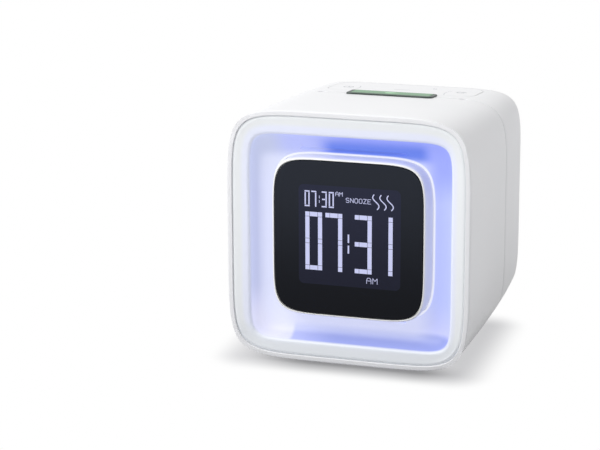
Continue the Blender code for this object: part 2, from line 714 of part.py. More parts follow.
# Screw bosses: long tubes in the cover, ribbed lugs in the sleeve
cover_boss_front = SEAM_DEPTH - TONGUE_LENGTH
sleeve_boss_rear = cover_boss_front - GAP
screw_seat_depth = ACCESS_END_DEPTH - 2 * SHELL_WALL
screw_places = {
    "top_left": (-SCREW_X, SCREW_TOP_HEIGHT),
    "top_right": (SCREW_X, SCREW_TOP_HEIGHT),
    "low_left": (-SCREW_X, SCREW_LOW_HEIGHT),
    "low_right": (SCREW_X, SCREW_LOW_HEIGHT),
}
for place_name, (x, height) in screw_places.items():
    side = 1 if height > 0 else -1
    boss_start = sleeve_boss_rear - SLEEVE_BOSS_LENGTH
    wall_height = surface_height(x, boss_start, side) - side * SHELL_WALL / 2
    lug = rod("lug_" + place_name, BOSS_RADIUS, (x, boss_start, height), SLEEVE_BOSS_LENGTH, home=cutters)
    rib = block(
        "lug_rib_" + place_name,
        (x - BOSS_RIB / 2, boss_start + BOSS_RIB, min(height, wall_height)),
        (x + BOSS_RIB / 2, sleeve_boss_rear - BOSS_RIB, max(height, wall_height)),
        home=cutters,
    )
    pilot = rod(
        "pilot_" + place_name,
        SCREW_SHANK_RADIUS + GAP / 2,
        (x, boss_start + 2 * GAP, height),
        SLEEVE_BOSS_LENGTH,
        home=cutters,
        spin=CUTTER_SPIN,
    )
    tube = rod(
        "tube_" + place_name,
        BOSS_RADIUS,
        (x, cover_boss_front, height),
        BODY_DEPTH - SHELL_WALL / 2 - cover_boss_front,
        home=cutters,
    )
    access = rod(
        "access_" + place_name,
        ACCESS_RADIUS,
        (x, screw_seat_depth, height),
        BODY_DEPTH,
        home=cutters,
        spin=CUTTER_SPIN,
    )
    through = rod(
        "through_" + place_name,
        SCREW_SHANK_RADIUS + GAP,
        (x, cover_boss_front - SHELL_WALL, height),
        2 * SHELL_WALL + screw_seat_depth - cover_boss_front,
        home=cutters,
        spin=2 * CUTTER_SPIN,
    )
    join(sleeve, rib, lug)
    cut(sleeve, pilot)
    join(cover, tube)
    cut(cover, access, through)
    head_front = screw_seat_depth + GAP
    head_back = head_front + SCREW_HEAD_HEIGHT
    turned(
        "cover_screw_" + place_name,
        [
            (0, head_back),
            (SCREW_HEAD_RADIUS * 0.8, head_back),
            (SCREW_HEAD_RADIUS, head_back - SCREW_HEAD_HEIGHT / 3),
            (SCREW_HEAD_RADIUS, head_front),
            (SCREW_SHANK_RADIUS, head_front),
            (SCREW_SHANK_RADIUS, head_front - SCREW_LENGTH + 2 * SCREW_SHANK_RADIUS),
            (0, head_front - SCREW_LENGTH),
        ],
        (x, 0, height),
        finish=STEEL,
        steps=SMALL_STEPS,
    )

# Air intake, button panel and inlet hole in the back
intake = leaf(
    "intake_slot",
    rounded_outline(INTAKE_SLOT_WIDTH, INTAKE_SLOT_LENGTH, INTAKE_SLOT_WIDTH / 2 - 1e-5, steps=2),
    4 * SHELL_WALL,
    at=(-INTAKE_PITCH * (INTAKE_SLOTS - 1) / 2, BODY_DEPTH, INTAKE_HEIGHT),
)
row = intake.modifiers.new("row", "ARRAY")
row.count = INTAKE_SLOTS
row.use_relative_offset = False
row.use_constant_offset = True
row.constant_offset_displace = (INTAKE_PITCH, 0, 0)
button_panel = leaf(
    "button_panel",
    rounded_outline(BUTTON_PANEL_WIDTH, BUTTON_PANEL_HEIGHT, BUTTON_PANEL_HEIGHT / 2 - 1e-5),
    2 * BUTTON_PANEL_DEPTH,
    at=(0, BODY_DEPTH, BUTTON_HEIGHT),
)
inlet_height = MAIN_BOARD_TOP + GAP + INLET_SIZE / 2
inlet_hole = rod(
    "inlet_hole",
    INLET_BARREL_RADIUS + GAP,
    (0, BACK_INNER_DEPTH - SHELL_WALL, inlet_height),
    3 * SHELL_WALL,
    home=cutters,
    steps=16,
)
cut(cover, intake, button_panel, inlet_hole)
button_xs = [BUTTON_PITCH * (k - (len(BUTTON_NAMES) - 1) / 2) for k in range(len(BUTTON_NAMES))]
for name, x in zip(BUTTON_NAMES, button_xs):
    hole = rod(
        name + "_hole",
        BUTTON_RADIUS + GAP,
        (x, BACK_INNER_DEPTH - SHELL_WALL, BUTTON_HEIGHT),
        3 * SHELL_WALL,
        home=cutters,
        steps=16,
    )
    cut(cover, hole)

# Posts that carry the boards in the cover
board_bottom = MAIN_BOARD_TOP - BOARD_THICKNESS
post_inset = POST_RADIUS + 2 * GAP
post_depths = (MAIN_BOARD_FRONT + post_inset, MAIN_BOARD_FRONT + MAIN_BOARD_DEPTH - post_inset)
for k, depth in enumerate(post_depths):
    for side in (-1, 1):
        x = side * (MAIN_BOARD_WIDTH / 2 - post_inset)
        foot = surface_height(x, depth, -1) + SHELL_WALL / 2
        join(cover, rod(
            f"board_post_{k}_{'left' if side < 0 else 'right'}",
            POST_RADIUS,
            (x, depth, foot),
            board_bottom - GAP - foot,
            towards="up",
            home=cutters,
            steps=12,
        ))
button_post_start = BUTTON_BOARD_DEPTH + BOARD_THICKNESS + GAP
for side in (-1, 1):
    join(cover, rod(
        f"button_post_{'left' if side < 0 else 'right'}",
        POST_RADIUS,
        (side * (BUTTON_BOARD_WIDTH / 2 - post_inset), button_post_start, BUTTON_HEIGHT),
        BODY_DEPTH - 1.5 * SHELL_WALL + SHELL_WALL - button_post_start,
        home=cutters,
        steps=12,
    ))

# Speaker slots in the underside
speaker_floor = surface_height(0, SPEAKER_DEPTH, -1)
for k in range(SPEAKER_SLOTS):
    x = SPEAKER_SLOT_PITCH * (k - (SPEAKER_SLOTS - 1) / 2)
    reach = math.sqrt((SPEAKER_RADIUS - 3 * SPEAKER_SLOT_WIDTH) ** 2 - x ** 2)
    cut(sleeve, leaf(
        f"speaker_slot_{k}",
        rounded_outline(SPEAKER_SLOT_WIDTH, 2 * reach, SPEAKER_SLOT_WIDTH / 2 - 1e-5, steps=2),
        4 * SHELL_WALL,
        facing="up",
        at=(x, SPEAKER_DEPTH, speaker_floor),
    ))

# Feet in shallow recesses, square to the floor
for end, depth in FOOT_DEPTHS.items():
    for side, x in (("left", -FOOT_X), ("right", FOOT_X)):
        floor_height = (
            -BODY_HEIGHT / 2 + depth * math.tan(LEAN) - FOOT_STAND / math.cos(LEAN)
        )
        rise = surface_height(x, depth, -1) - floor_height
        recess = rod(
            f"recess_{end}_{side}",
            FOOT_RADIUS + GAP,
            (x, depth, floor_height),
            rise + FOOT_RECESS,
            towards="up",
            home=cutters,
            steps=16,
            lean=LEAN,
        )
        cut(sleeve if end == "front" else cover, recess)
        top = rise + FOOT_RECESS - GAP
        turned(
            f"foot_{end}_{side}",
            [
                (0, top),
                (FOOT_RADIUS, top),
                (FOOT_RADIUS, FOOT_STAND / 2),
                (FOOT_RADIUS - FOOT_STAND / 2, 0),
                (0, 0),
            ],
            (x, depth, floor_height),
            towards="up",
            finish=RUBBER,
            steps=16,
            lean=LEAN,
        )


def touch_outline(growth=0.0):
    return rounded_outline(
        TOUCH_WIDTH + 2 * growth,
        TOUCH_REAR_DEPTH - TOUCH_FRONT_DEPTH + 2 * growth,
        TOUCH_CORNER + growth,
        middle=(0.0, (TOUCH_FRONT_DEPTH + TOUCH_REAR_DEPTH) / 2),
    )


def top_skin(name, outer_inset, inner_inset, growth, finish=None, home=None):
    """The body's skin between two insets, trimmed to the touch panel's outline."""
    start = TOUCH_FRONT_DEPTH - 2 * TOUCH_THICKNESS
    end = TOUCH_REAR_DEPTH + TOUCH_THICKNESS
    rings = [body_ring(start, outer_inset), body_ring(end, outer_inset)]
    rings += [body_ring(end, inner_inset), body_ring(start, inner_inset)]
    skin = loft(name, rings, finish, home, closed=True)
    trim = leaf(
        name + "_trim",
        touch_outline(growth),
        BODY_HEIGHT / 2,
        facing="up",
        at=(0, 0, BODY_HEIGHT / 2),
    )
    combine(skin, as_cutter(trim), "INTERSECT")
    return skin


touch_panel = top_skin("touch_panel", 0.0, TOUCH_THICKNESS, 0.0, WHITE)
touch_pocket = top_skin(
    "touch_pocket", -SHELL_WALL, TOUCH_THICKNESS + GAP, GAP, home=cutters
)
cut(cover, touch_pocket)
cut(sleeve, slot_upper, slot_lower, groove, *pockets)
cut(cover, tongue_notch, tongue_root_notch, slot_upper, slot_lower, groove, *pockets)

touch_middle = (TOUCH_FRONT_DEPTH + TOUCH_REAR_DEPTH) / 2
touch_board = sheet(
    "touch_board",
    rounded_outline(
        TOUCH_WIDTH - 2 * TOUCH_BOARD_MARGIN,
        TOUCH_REAR_DEPTH - TOUCH_FRONT_DEPTH - 2 * TOUCH_BOARD_MARGIN,
        TOUCH_BOARD_MARGIN / 2,
        steps=3,
    ),
    TOUCH_BOARD_THICKNESS,
    BOARD,
    facing="up",
)
touch_board.rotation_euler = (-TOP_SLOPE, 0, 0)
touch_board.location = (
    0,
    touch_middle,
    surface_height(0, touch_middle) - SHELL_WALL - 2 * GAP - TOUCH_BOARD_THICKNESS / 2,
)


def make_light_frame():
    """The translucent border, the trough that sweeps down to the pod, and the back of both."""
    tw = TROUGH_HALF_WIDTH
    th = TROUGH_HALF_HEIGHT
    pw = POD_BASE_HALF_WIDTH + GAP
    ph = POD_BASE_HALF_HEIGHT + GAP
    sq = TROUGH_SQUARENESS
    front = FRAME_BORDER_SETBACK
    rings = [
        ring(LIP_THICKNESS, FRAME_HALF_WIDTH, FRAME_HALF_HEIGHT, LIP_SQUARENESS),
        ring(2 * front, FRAME_HALF_WIDTH, FRAME_HALF_HEIGHT, LIP_SQUARENESS),
        ring(front, FRAME_HALF_WIDTH - front, FRAME_HALF_HEIGHT - front, LIP_SQUARENESS),
        ring(
            1.6 * front,
            (FRAME_HALF_WIDTH + tw) / 2,
            (FRAME_HALF_HEIGHT + th) / 2,
            LIP_SQUARENESS,
            -TROUGH_DROP / 2,
        ),
        ring(2.4 * front, tw + 2 * front, th + 2 * front, sq, -TROUGH_DROP),
    ]
    floor_width = pw + 0.0010
    floor_height = ph + 0.0010
    sweep_steps = 6
    for step in range(sweep_steps + 1):
        angle = math.pi / 2 * step / sweep_steps
        across = 1 - math.cos(angle)
        down = math.sin(angle)
        rings.append(ring(
            0.0019 + (TROUGH_DEPTH - 0.0019) * down,
            tw - (tw - floor_width) * across ** 1.25,
            th - (th - floor_height) * across ** 1.25,
            sq - (sq - LENS_SQUARENESS) * across ** 0.7,
            TROUGH_DROP * (across - 1),
        ))
    bead = GAP * 1.6
    rings.append(ring(TROUGH_DEPTH - bead, pw + 0.0006, ph + 0.0006, LENS_SQUARENESS))
    rings.append(ring(TROUGH_DEPTH - bead, pw, ph, LENS_SQUARENESS))
    rings.append(ring(FRAME_BACK_DEPTH, pw, ph, LENS_SQUARENESS))
    for step in range(sweep_steps // 2, -1, -1):
        angle = math.pi / 2 * 2 * step / sweep_steps
        across = 1 - math.cos(angle)
        down = math.sin(angle)
        rings.append(ring(
            LIP_THICKNESS + (FRAME_BACK_DEPTH - LIP_THICKNESS) * down,
            tw + FRAME_WALL - (tw - floor_width) * across ** 1.25,
            th + FRAME_WALL - (th - floor_height) * across ** 1.25,
            sq - (sq - LENS_SQUARENESS) * across ** 0.7,
            TROUGH_DROP * (across - 1),
        ))
    light_frame = loft("light_frame", rings, CLEAR_WHITE, closed=True)
    for end, side in (("top", 1), ("bottom", -1)):
        cut(light_frame, leaf(
            "outlet_" + end,
            rounded_outline(OUTLET_LENGTH, OUTLET_HEIGHT, OUTLET_HEIGHT / 2 - 1e-5, steps=4),
            FRAME_BACK_DEPTH,
            at=(0, FRAME_BACK_DEPTH, side * OUTLET_MIDDLE),
        ))
    return light_frame


make_light_frame()


def make_pod():
    """A cup that opens to the front: a ledge for the window, a bevelled lip and a flared side."""
    w = LENS_HALF_WIDTH + GAP
    h = LENS_HALF_HEIGHT + GAP
    sq = LENS_SQUARENESS
    ledge_depth = LENS_FACE_DEPTH + LENS_THICKNESS + GAP
    rings = [
        ring(POD_FLOOR_DEPTH, w - POD_LEDGE, h - POD_LEDGE, sq),
        ring(ledge_depth, w - POD_LEDGE, h - POD_LEDGE, sq),
        ring(ledge_depth, w, h, sq),
        ring(LENS_FACE_DEPTH + GAP, w, h, sq),
    ]
    lip_steps = 4
    for step in range(lip_steps + 1):
        angle = math.pi * step / lip_steps
        out = POD_LIP * (1 - math.cos(angle)) / 2
        rise = 0.6 * POD_LIP * math.sin(angle)
        drop = 1.2 * POD_LIP * step / lip_steps
        rings.append(ring(LENS_FACE_DEPTH - rise + drop, w + out, h + out, sq))
    side_steps = 2
    side_start = LENS_FACE_DEPTH + 1.2 * POD_LIP
    for step in range(1, side_steps + 1):
        share = step / side_steps
        out = POD_LIP + POD_FLARE * share ** 0.6
        rings.append(ring(side_start + (TROUGH_DEPTH - side_start) * share, w + out, h + out, sq))
    base_w = POD_BASE_HALF_WIDTH
    base_h = POD_BASE_HALF_HEIGHT
    rings.append(ring(POD_BACK_DEPTH, base_w, base_h, sq))
    pod = loft("display_pod", rings, SATIN, capped=True)
    slot_half_width = CONNECTOR_WIDTH / 2 + GAP
    slot_half_height = CONNECTOR_DEPTH / 2 + GAP
    exit_slot = block(
        "cable_exit",
        (-slot_half_width, POD_FLOOR_DEPTH - POD_FLOOR, CABLE_HEIGHT - slot_half_height),
        (slot_half_width, POD_BACK_DEPTH + POD_FLOOR, CABLE_HEIGHT + slot_half_height),
        home=cutters,
    )
    return cut(pod, exit_slot)


make_pod()

loft(
    "display_window",
    [
        ring(LENS_FACE_DEPTH, LENS_HALF_WIDTH - GAP, LENS_HALF_HEIGHT - GAP, LENS_SQUARENESS),
        ring(LENS_FACE_DEPTH + GAP, LENS_HALF_WIDTH, LENS_HALF_HEIGHT, LENS_SQUARENESS),
        ring(LENS_FACE_DEPTH + LENS_THICKNESS, LENS_HALF_WIDTH, LENS_HALF_HEIGHT, LENS_SQUARENESS),
    ],
    BLACK_GLOSS,
    capped=True,
)


def display_plate(name, width, height, start, thickness, finish, corner=0.001):
    """An upright plate centred behind the display."""
    return sheet(
        name,
        rounded_outline(width, height, corner, steps=3),
        thickness,
        finish,
        at=(DISPLAY_CENTRE_X, start + thickness / 2, DISPLAY_CENTRE_HEIGHT),
    )


display_plate("lcd_module", LCD_WIDTH, LCD_HEIGHT, LCD_DEPTH, LCD_THICKNESS, LCD_DARK)
display_plate("backlight_plate", LCD_WIDTH, LCD_HEIGHT, BACKLIGHT_DEPTH, BACKLIGHT_THICKNESS, LIGHT_GUIDE)
display_board = display_plate(
    "display_board",
    DISPLAY_BOARD_WIDTH,
    DISPLAY_BOARD_HEIGHT,
    DISPLAY_BOARD_DEPTH,
    DISPLAY_BOARD_THICKNESS,
    BOARD,
)
connector_start = DISPLAY_BOARD_DEPTH + DISPLAY_BOARD_THICKNESS / 2
join(display_board, block(
    "display_connector",
    (-CONNECTOR_WIDTH / 2, connector_start, CABLE_HEIGHT - CONNECTOR_DEPTH / 2),
    (CONNECTOR_WIDTH / 2, connector_start + CONNECTOR_DEPTH, CABLE_HEIGHT + CONNECTOR_DEPTH / 2),
    home=cutters,
))

# LED ring board: a frame round the duct, with lamps that shine into the back of the trough
led_front = FRAME_BACK_DEPTH + GAP + LED_HEIGHT
led_back = led_front + LED_BOARD_THICKNESS
led_half_width, led_half_height, led_middle, led_squareness = section(led_back, SHELL_WALL + GAP)
led_board = loft(
    "led_ring_board",
    [
        ring(led_front, led_half_width, led_half_height, led_squareness, led_middle),
        ring(led_back, led_half_width, led_half_height, led_squareness, led_middle),
        ring(led_back, LED_WINDOW_HALF_WIDTH, LED_WINDOW_HALF_HEIGHT, led_squareness),
        ring(led_front, LED_WINDOW_HALF_WIDTH, LED_WINDOW_HALF_HEIGHT, led_squareness),
    ],
    BOARD,
    closed=True,
)
led_row_width = (led_half_width + LED_WINDOW_HALF_WIDTH) / 2
led_row_height = (led_half_height + LED_WINDOW_HALF_HEIGHT) / 2
led_places = [(side * led_row_width, height) for side in (-1, 1) for height in LED_SIDE_ROWS]
led_places += [(x, side * led_row_height) for side in (-1, 1) for x in LED_TOP_ROWS]
for k, (x, height) in enumerate(led_places):
    join(led_board, block(
        f"led_{k}",
        (x - LED_LENGTH / 2, led_front - LED_HEIGHT, height - LED_WIDTH / 2),
        (x + LED_LENGTH / 2, led_front + LED_BOARD_THICKNESS / 2, height + LED_WIDTH / 2),
        home=cutters,
    ))


# Cartridge: an arched tongue with a grille in both faces
cartridge_tip = MAIN_BOARD_TOP + CARTRIDGE_TIP_RISE
grille_top = cap_top - GRILLE_START
grille_tip = cartridge_tip + GRILLE_MARGIN
AIR_HEIGHT = (grille_top + grille_tip) / 2


def arched_outline(half_top, half_end, top, spring, tip, steps=12):
    """Straight sides that draw in a little towards an arched lower end, counter-clockwise."""
    points = [(half_top, top), (-half_top, top)]
    for step in range(steps + 1):
        angle = math.pi + math.pi * step / steps
        c = math.cos(angle)
        s = math.sin(angle)
        reach = (abs(c) ** ARCH_SQUARENESS + abs(s) ** ARCH_SQUARENESS) ** (-1 / ARCH_SQUARENESS)
        points.append((half_end * reach * c, spring + (spring - tip) * reach * s))
    return points


def tongue_outline(inset, top):
    return arched_outline(
        CARTRIDGE_WIDTH / 2 - inset,
        CARTRIDGE_END_WIDTH / 2 - inset,
        top,
        cartridge_tip + CARTRIDGE_END_LENGTH,
        cartridge_tip + inset,
    )


body_top = cap_bottom - GAP
cartridge_body = sheet(
    "cartridge_body",
    tongue_outline(0.0, body_top),
    CARTRIDGE_THICKNESS,
    CARTRIDGE_GREY,
    at=(0, SEAM_DEPTH, 0),
)
add_bevel(cartridge_body, CARTRIDGE_EDGE_ROUND)
cartridge_room = leaf(
    "cartridge_room",
    tongue_outline(CARTRIDGE_WALL, body_top + SPIGOT_HEIGHT),
    CARTRIDGE_THICKNESS - 2 * CARTRIDGE_WALL,
    at=(0, SEAM_DEPTH, 0),
)
slot_width = (GRILLE_WIDTH - (GRILLE_SLOTS - 1) * GRILLE_RIB) / GRILLE_SLOTS
grille_slots = block(
    "grille_slots",
    (-GRILLE_WIDTH / 2, SEAM_DEPTH - CARTRIDGE_THICKNESS, cartridge_tip),
    (-GRILLE_WIDTH / 2 + slot_width, SEAM_DEPTH + CARTRIDGE_THICKNESS, body_top),
    home=cutters,
)
slot_row = grille_slots.modifiers.new("row", "ARRAY")
slot_row.count = GRILLE_SLOTS
slot_row.use_relative_offset = False
slot_row.use_constant_offset = True
slot_row.constant_offset_displace = (slot_width + GRILLE_RIB, 0, 0)
grille_shape = leaf(
    "grille_shape",
    arched_outline(
        GRILLE_WIDTH,
        GRILLE_WIDTH / 2,
        grille_top,
        grille_tip + CARTRIDGE_END_LENGTH * GRILLE_WIDTH / CARTRIDGE_WIDTH,
        grille_tip,
    ),
    3 * CARTRIDGE_THICKNESS,
    at=(0, SEAM_DEPTH, 0),
)
combine(grille_slots, as_cutter(grille_shape), "INTERSECT")
cut(cartridge_body, cartridge_room, grille_slots)

sheet(
    "scent_insert",
    tongue_outline(CARTRIDGE_WALL + GAP, body_top - SPIGOT_HEIGHT - 2 * GAP),
    CARTRIDGE_THICKNESS - 2 * CARTRIDGE_WALL - 2 * GAP,
    POROUS,
    at=(0, SEAM_DEPTH, 0),
)

cartridge_cap = sheet(
    "cartridge_cap",
    rounded_outline(CAP_WIDTH, CAP_THICKNESS, CAP_CORNER),
    CAP_HEIGHT,
    CAP_DARK,
    facing="up",
    at=(0, SEAM_DEPTH, cap_top - CAP_HEIGHT / 2),
)
add_bevel(cartridge_cap, CAP_EDGE_ROUND)
spigot_inset = CARTRIDGE_WALL + GAP
join(cartridge_cap, leaf(
    "cap_spigot",
    rounded_outline(
        CARTRIDGE_WIDTH - 2 * spigot_inset,
        CARTRIDGE_THICKNESS - 2 * spigot_inset,
        CAP_CORNER / 2,
        steps=3,
    ),
    SPIGOT_HEIGHT + CAP_HEIGHT / 2,
    facing="up",
    at=(0, SEAM_DEPTH, cap_bottom - (SPIGOT_HEIGHT - CAP_HEIGHT / 2) / 2),
))
label_width = CAP_WIDTH - 2 * LABEL_MARGIN
label_depth = CAP_THICKNESS - 2 * LABEL_MARGIN
label_corner = CAP_CORNER - LABEL_MARGIN / 2
cut(cartridge_cap, leaf(
    "label_recess",
    rounded_outline(label_width + GAP, label_depth + GAP, label_corner, steps=4),
    2 * LABEL_THICKNESS,
    facing="up",
    at=(0, SEAM_DEPTH, cap_top),
))
sheet(
    "cartridge_label",
    rounded_outline(label_width - GAP, label_depth - GAP, label_corner - GAP / 2, steps=4),
    LABEL_THICKNESS,
    GREEN,
    facing="up",
    at=(0, SEAM_DEPTH, cap_top - LABEL_THICKNESS / 2 + GAP / 2),
)

# Cartridge bay: a pocket under the slot with a window for air on each side
bay_top = deck_height - SHELL_WALL - 3 * GAP
bay_floor = cartridge_tip - BAY_CLEARANCE
bay = block(
    "cartridge_bay",
    (-BAY_WIDTH / 2, BAY_FRONT_DEPTH, bay_floor - BAY_WALL),
    (BAY_WIDTH / 2, BAY_REAR_DEPTH, bay_top),
    DUCT_GREY,
)
add_bevel(bay, GAP, 1)
bay_room = leaf(
    "bay_room",
    rounded_outline(BAY_INNER_WIDTH, BAY_INNER_THICKNESS, CAP_CORNER, steps=3),
    2 * (bay_top - bay_floor),
    facing="up",
    at=(0, SEAM_DEPTH, bay_top),
)
bay_window = block(
    "bay_window",
    (-BAY_WINDOW / 2, BAY_FRONT_DEPTH - BAY_WALL, AIR_HEIGHT - BAY_WINDOW / 2),
    (BAY_WINDOW / 2, BAY_REAR_DEPTH + BAY_WALL, AIR_HEIGHT + BAY_WINDOW / 2),
    home=cutters,
)
add_bevel(bay_window, BAY_WALL)
cut(bay, bay_room, bay_window)


def make_duct():
    """A funnel from the bay's window to the tall mouth behind the trough's outlets."""
    front_w = OUTLET_LENGTH / 2 + DUCT_WALL
    front_h = OUTLET_MIDDLE + OUTLET_HEIGHT / 2 + GAP
    rear = BAY_WINDOW / 2 + GAP
    stations = (0.0, 0.12, 0.45, 0.8, 1.0)

    def station(share, growth):
        ease = share ** 0.8
        return ring(
            DUCT_FRONT_DEPTH + (DUCT_REAR_DEPTH - DUCT_FRONT_DEPTH) * share,
            front_w + (rear - front_w) * ease + growth,
            front_h + (rear - front_h) * ease + growth,
            LENS_SQUARENESS + (DUCT_REAR_SQUARENESS - LENS_SQUARENESS) * share,
            AIR_HEIGHT * ease,
        )

    rings = [station(share, DUCT_WALL) for share in stations]
    rings += [station(share, 0.0) for share in reversed(stations)]
    return loft("air_duct", rings, DUCT_GREY, closed=True)


make_duct()

# Fan: a square frame with a rear spider, the stator on its bearing tube, and the impeller
fan_frame = sheet(
    "fan_frame",
    rounded_outline(FAN_SIZE, FAN_SIZE, FAN_CORNER, steps=4),
    FAN_DEPTH,
    FAN_BLACK,
    at=(0, FAN_FRONT_DEPTH + FAN_DEPTH / 2, AIR_HEIGHT),
)
fan_bore = rod(
    "fan_bore",
    FAN_BORE / 2,
    (0, FAN_FRONT_DEPTH - FAN_ARM_THICKNESS, AIR_HEIGHT),
    FAN_DEPTH + 2 * FAN_ARM_THICKNESS,
    home=cutters,
    steps=28,
)
cut(fan_frame, fan_bore)
for k in range(4):
    x = (-1, 1, 1, -1)[k] * FAN_HOLE_PITCH / 2
    height = AIR_HEIGHT + (-1, -1, 1, 1)[k] * FAN_HOLE_PITCH / 2
    cut(fan_frame, rod(
        f"fan_hole_{k}",
        FAN_HOLE / 2,
        (x, FAN_FRONT_DEPTH - FAN_ARM_THICKNESS, height),
        FAN_DEPTH + 2 * FAN_ARM_THICKNESS,
        home=cutters,
        steps=12,
    ))
for k in range(2):
    arm = block(
        f"fan_arm_{k}",
        (-FAN_BORE / 2 - FAN_ARM_THICKNESS / 2, -FAN_ARM_THICKNESS, -FAN_ARM_WIDTH / 2),
        (FAN_BORE / 2 + FAN_ARM_THICKNESS / 2, 0, FAN_ARM_WIDTH / 2),
        home=cutters,
    )
    arm.location = (0, FAN_REAR_DEPTH, AIR_HEIGHT)
    arm.rotation_euler = (0, math.pi / 4 + k * math.pi / 2, 0)
    join(fan_frame, arm)
hub_front = FAN_HUB_SETBACK
bearing_front = hub_front + HUB_WALL + FAN_HUB_SETBACK
join(fan_frame, turned(
    "fan_bearing",
    [
        (0, FAN_DEPTH),
        (HUB_RADIUS, FAN_DEPTH),
        (HUB_RADIUS, FAN_DEPTH - FAN_ARM_THICKNESS),
        (BEARING_RADIUS, FAN_DEPTH - FAN_ARM_THICKNESS),
        (BEARING_RADIUS, bearing_front),
        (0, bearing_front),
    ],
    (0, FAN_FRONT_DEPTH, AIR_HEIGHT),
    home=cutters,
))
shaft_end = FAN_DEPTH - FAN_ARM_THICKNESS / 2
cut(fan_frame, rod(
    "bearing_bore",
    SHAFT_RADIUS + GAP,
    (0, FAN_FRONT_DEPTH, AIR_HEIGHT),
    shaft_end + GAP,
    home=cutters,
    spin=CUTTER_SPIN,
))
stator_start = bearing_front + GAP
turned(
    "fan_stator",
    [
        (BEARING_RADIUS + GAP, stator_start + STATOR_LENGTH),
        (STATOR_RADIUS, stator_start + STATOR_LENGTH),
        (STATOR_RADIUS, stator_start),
        (BEARING_RADIUS + GAP, stator_start),
        (BEARING_RADIUS + GAP, stator_start + STATOR_LENGTH),
    ],
    (0, FAN_FRONT_DEPTH, AIR_HEIGHT),
    finish=COPPER,
    steps=16,
)


def make_blades():
    """Twisted, cambered blades, each skinned between sections at three radii."""
    mesh = bpy.data.meshes.new("fan_blades")
    bm = bmesh.new()
    root = HUB_RADIUS - HUB_WALL / 2
    tip = FAN_BORE / 2 - FAN_TIP_CLEARANCE
    middle = hub_front + HUB_LENGTH / 2
    outline = ((-0.5, 0.0), (-0.2, -0.5), (0.25, -0.5), (0.5, 0.0), (0.25, 0.5), (-0.2, 0.5))
    for blade in range(FAN_BLADES):
        centre = 2 * math.pi * blade / FAN_BLADES
        rows = []
        for share in (0.0, 0.5, 1.0):
            radius = root + (tip - root) * share
            pitch = FAN_ROOT_PITCH + (FAN_TIP_PITCH - FAN_ROOT_PITCH) * share
            row = []
            for along, across in outline:
                camber = 0.9 * FAN_BLADE_THICKNESS * (1 - 4 * along ** 2)
                s = along * FAN_BLADE_CHORD
                t = across * FAN_BLADE_THICKNESS + camber
                swing = s * math.sin(pitch) + t * math.cos(pitch)
                lift = s * math.cos(pitch) - t * math.sin(pitch)
                angle = centre + swing / radius
                row.append(bm.verts.new((
                    radius * math.cos(angle), radius * math.sin(angle), middle + lift
                )))
            rows.append(row)
        for first, second in zip(rows, rows[1:]):
            for k in range(len(outline)):
                n = (k + 1) % len(outline)
                bm.faces.new((first[k], first[n], second[n], second[k]))
        bm.faces.new(list(reversed(rows[0])))
        bm.faces.new(rows[-1])
    bmesh.ops.recalc_face_normals(bm, faces=bm.faces)
    bm.to_mesh(mesh)
    bm.free()
    blades = mesh_object("fan_blades", mesh, home=cutters)
    blades.location = (0, FAN_FRONT_DEPTH, AIR_HEIGHT)
    blades.rotation_euler = (-math.pi / 2, 0, 0)
    return blades


hub_inner = hub_front + HUB_WALL
hub_back = hub_front + HUB_LENGTH
impeller = turned(
    "fan_impeller",
    [
        (0, shaft_end),
        (SHAFT_RADIUS, shaft_end),
        (SHAFT_RADIUS, hub_inner),
        (HUB_RADIUS - HUB_WALL, hub_inner),
        (HUB_RADIUS - HUB_WALL, hub_back),
        (HUB_RADIUS, hub_back),
        (HUB_RADIUS, hub_front + HUB_WALL),
        (HUB_RADIUS - HUB_WALL, hub_front),
        (0, hub_front),
    ],
    (0, FAN_FRONT_DEPTH, AIR_HEIGHT),
    finish=FAN_BLACK,
    steps=20,
)
join(impeller, make_blades())

# Main board with its coin cell and the inlet
main_board = sheet(
    "main_board",
    rounded_outline(
        MAIN_BOARD_WIDTH,
        MAIN_BOARD_DEPTH,
        0.001,
        steps=2,
        middle=(0.0, MAIN_BOARD_FRONT + MAIN_BOARD_DEPTH / 2),
    ),
    BOARD_THICKNESS,
    BOARD,
    facing="up",
    at=(0, 0, MAIN_BOARD_TOP - BOARD_THICKNESS / 2),
)
chip_middle = (MAIN_BOARD_WIDTH / 4, MAIN_BOARD_FRONT + MAIN_BOARD_DEPTH / 3)
join(main_board, block(
    "controller_chip",
    (chip_middle[0] - CHIP_SIZE / 2, chip_middle[1] - CHIP_SIZE / 2, MAIN_BOARD_TOP - BOARD_THICKNESS / 2),
    (chip_middle[0] + CHIP_SIZE / 2, chip_middle[1] + CHIP_SIZE / 2, MAIN_BOARD_TOP + BOARD_THICKNESS),
    home=cutters,
))
holder_base = MAIN_BOARD_TOP + GAP
cell_depth = BAY_REAR_DEPTH + CELL_RADIUS + HOLDER_WALL + 2 * GAP
turned(
    "coin_cell_holder",
    [
        (0, HOLDER_WALL),
        (CELL_RADIUS + GAP, HOLDER_WALL),
        (CELL_RADIUS + GAP, HOLDER_HEIGHT),
        (CELL_RADIUS + GAP + HOLDER_WALL, HOLDER_HEIGHT),
        (CELL_RADIUS + GAP + HOLDER_WALL, 0),
        (0, 0),
    ],
    (CELL_X, cell_depth, holder_base),
    towards="up",
    finish=BLACK_PLASTIC,
)
rod(
    "coin_cell",
    CELL_RADIUS,
    (CELL_X, cell_depth, holder_base + HOLDER_WALL + GAP),
    CELL_THICKNESS,
    towards="up",
    finish=STEEL,
    steps=ROUND_STEPS,
)
inlet_rear = BACK_INNER_DEPTH - GAP
inlet = block(
    "dc_inlet",
    (-INLET_SIZE / 2, inlet_rear - INLET_LENGTH, inlet_height - INLET_SIZE / 2),
    (INLET_SIZE / 2, inlet_rear, inlet_height + INLET_SIZE / 2),
    BLACK_PLASTIC,
)
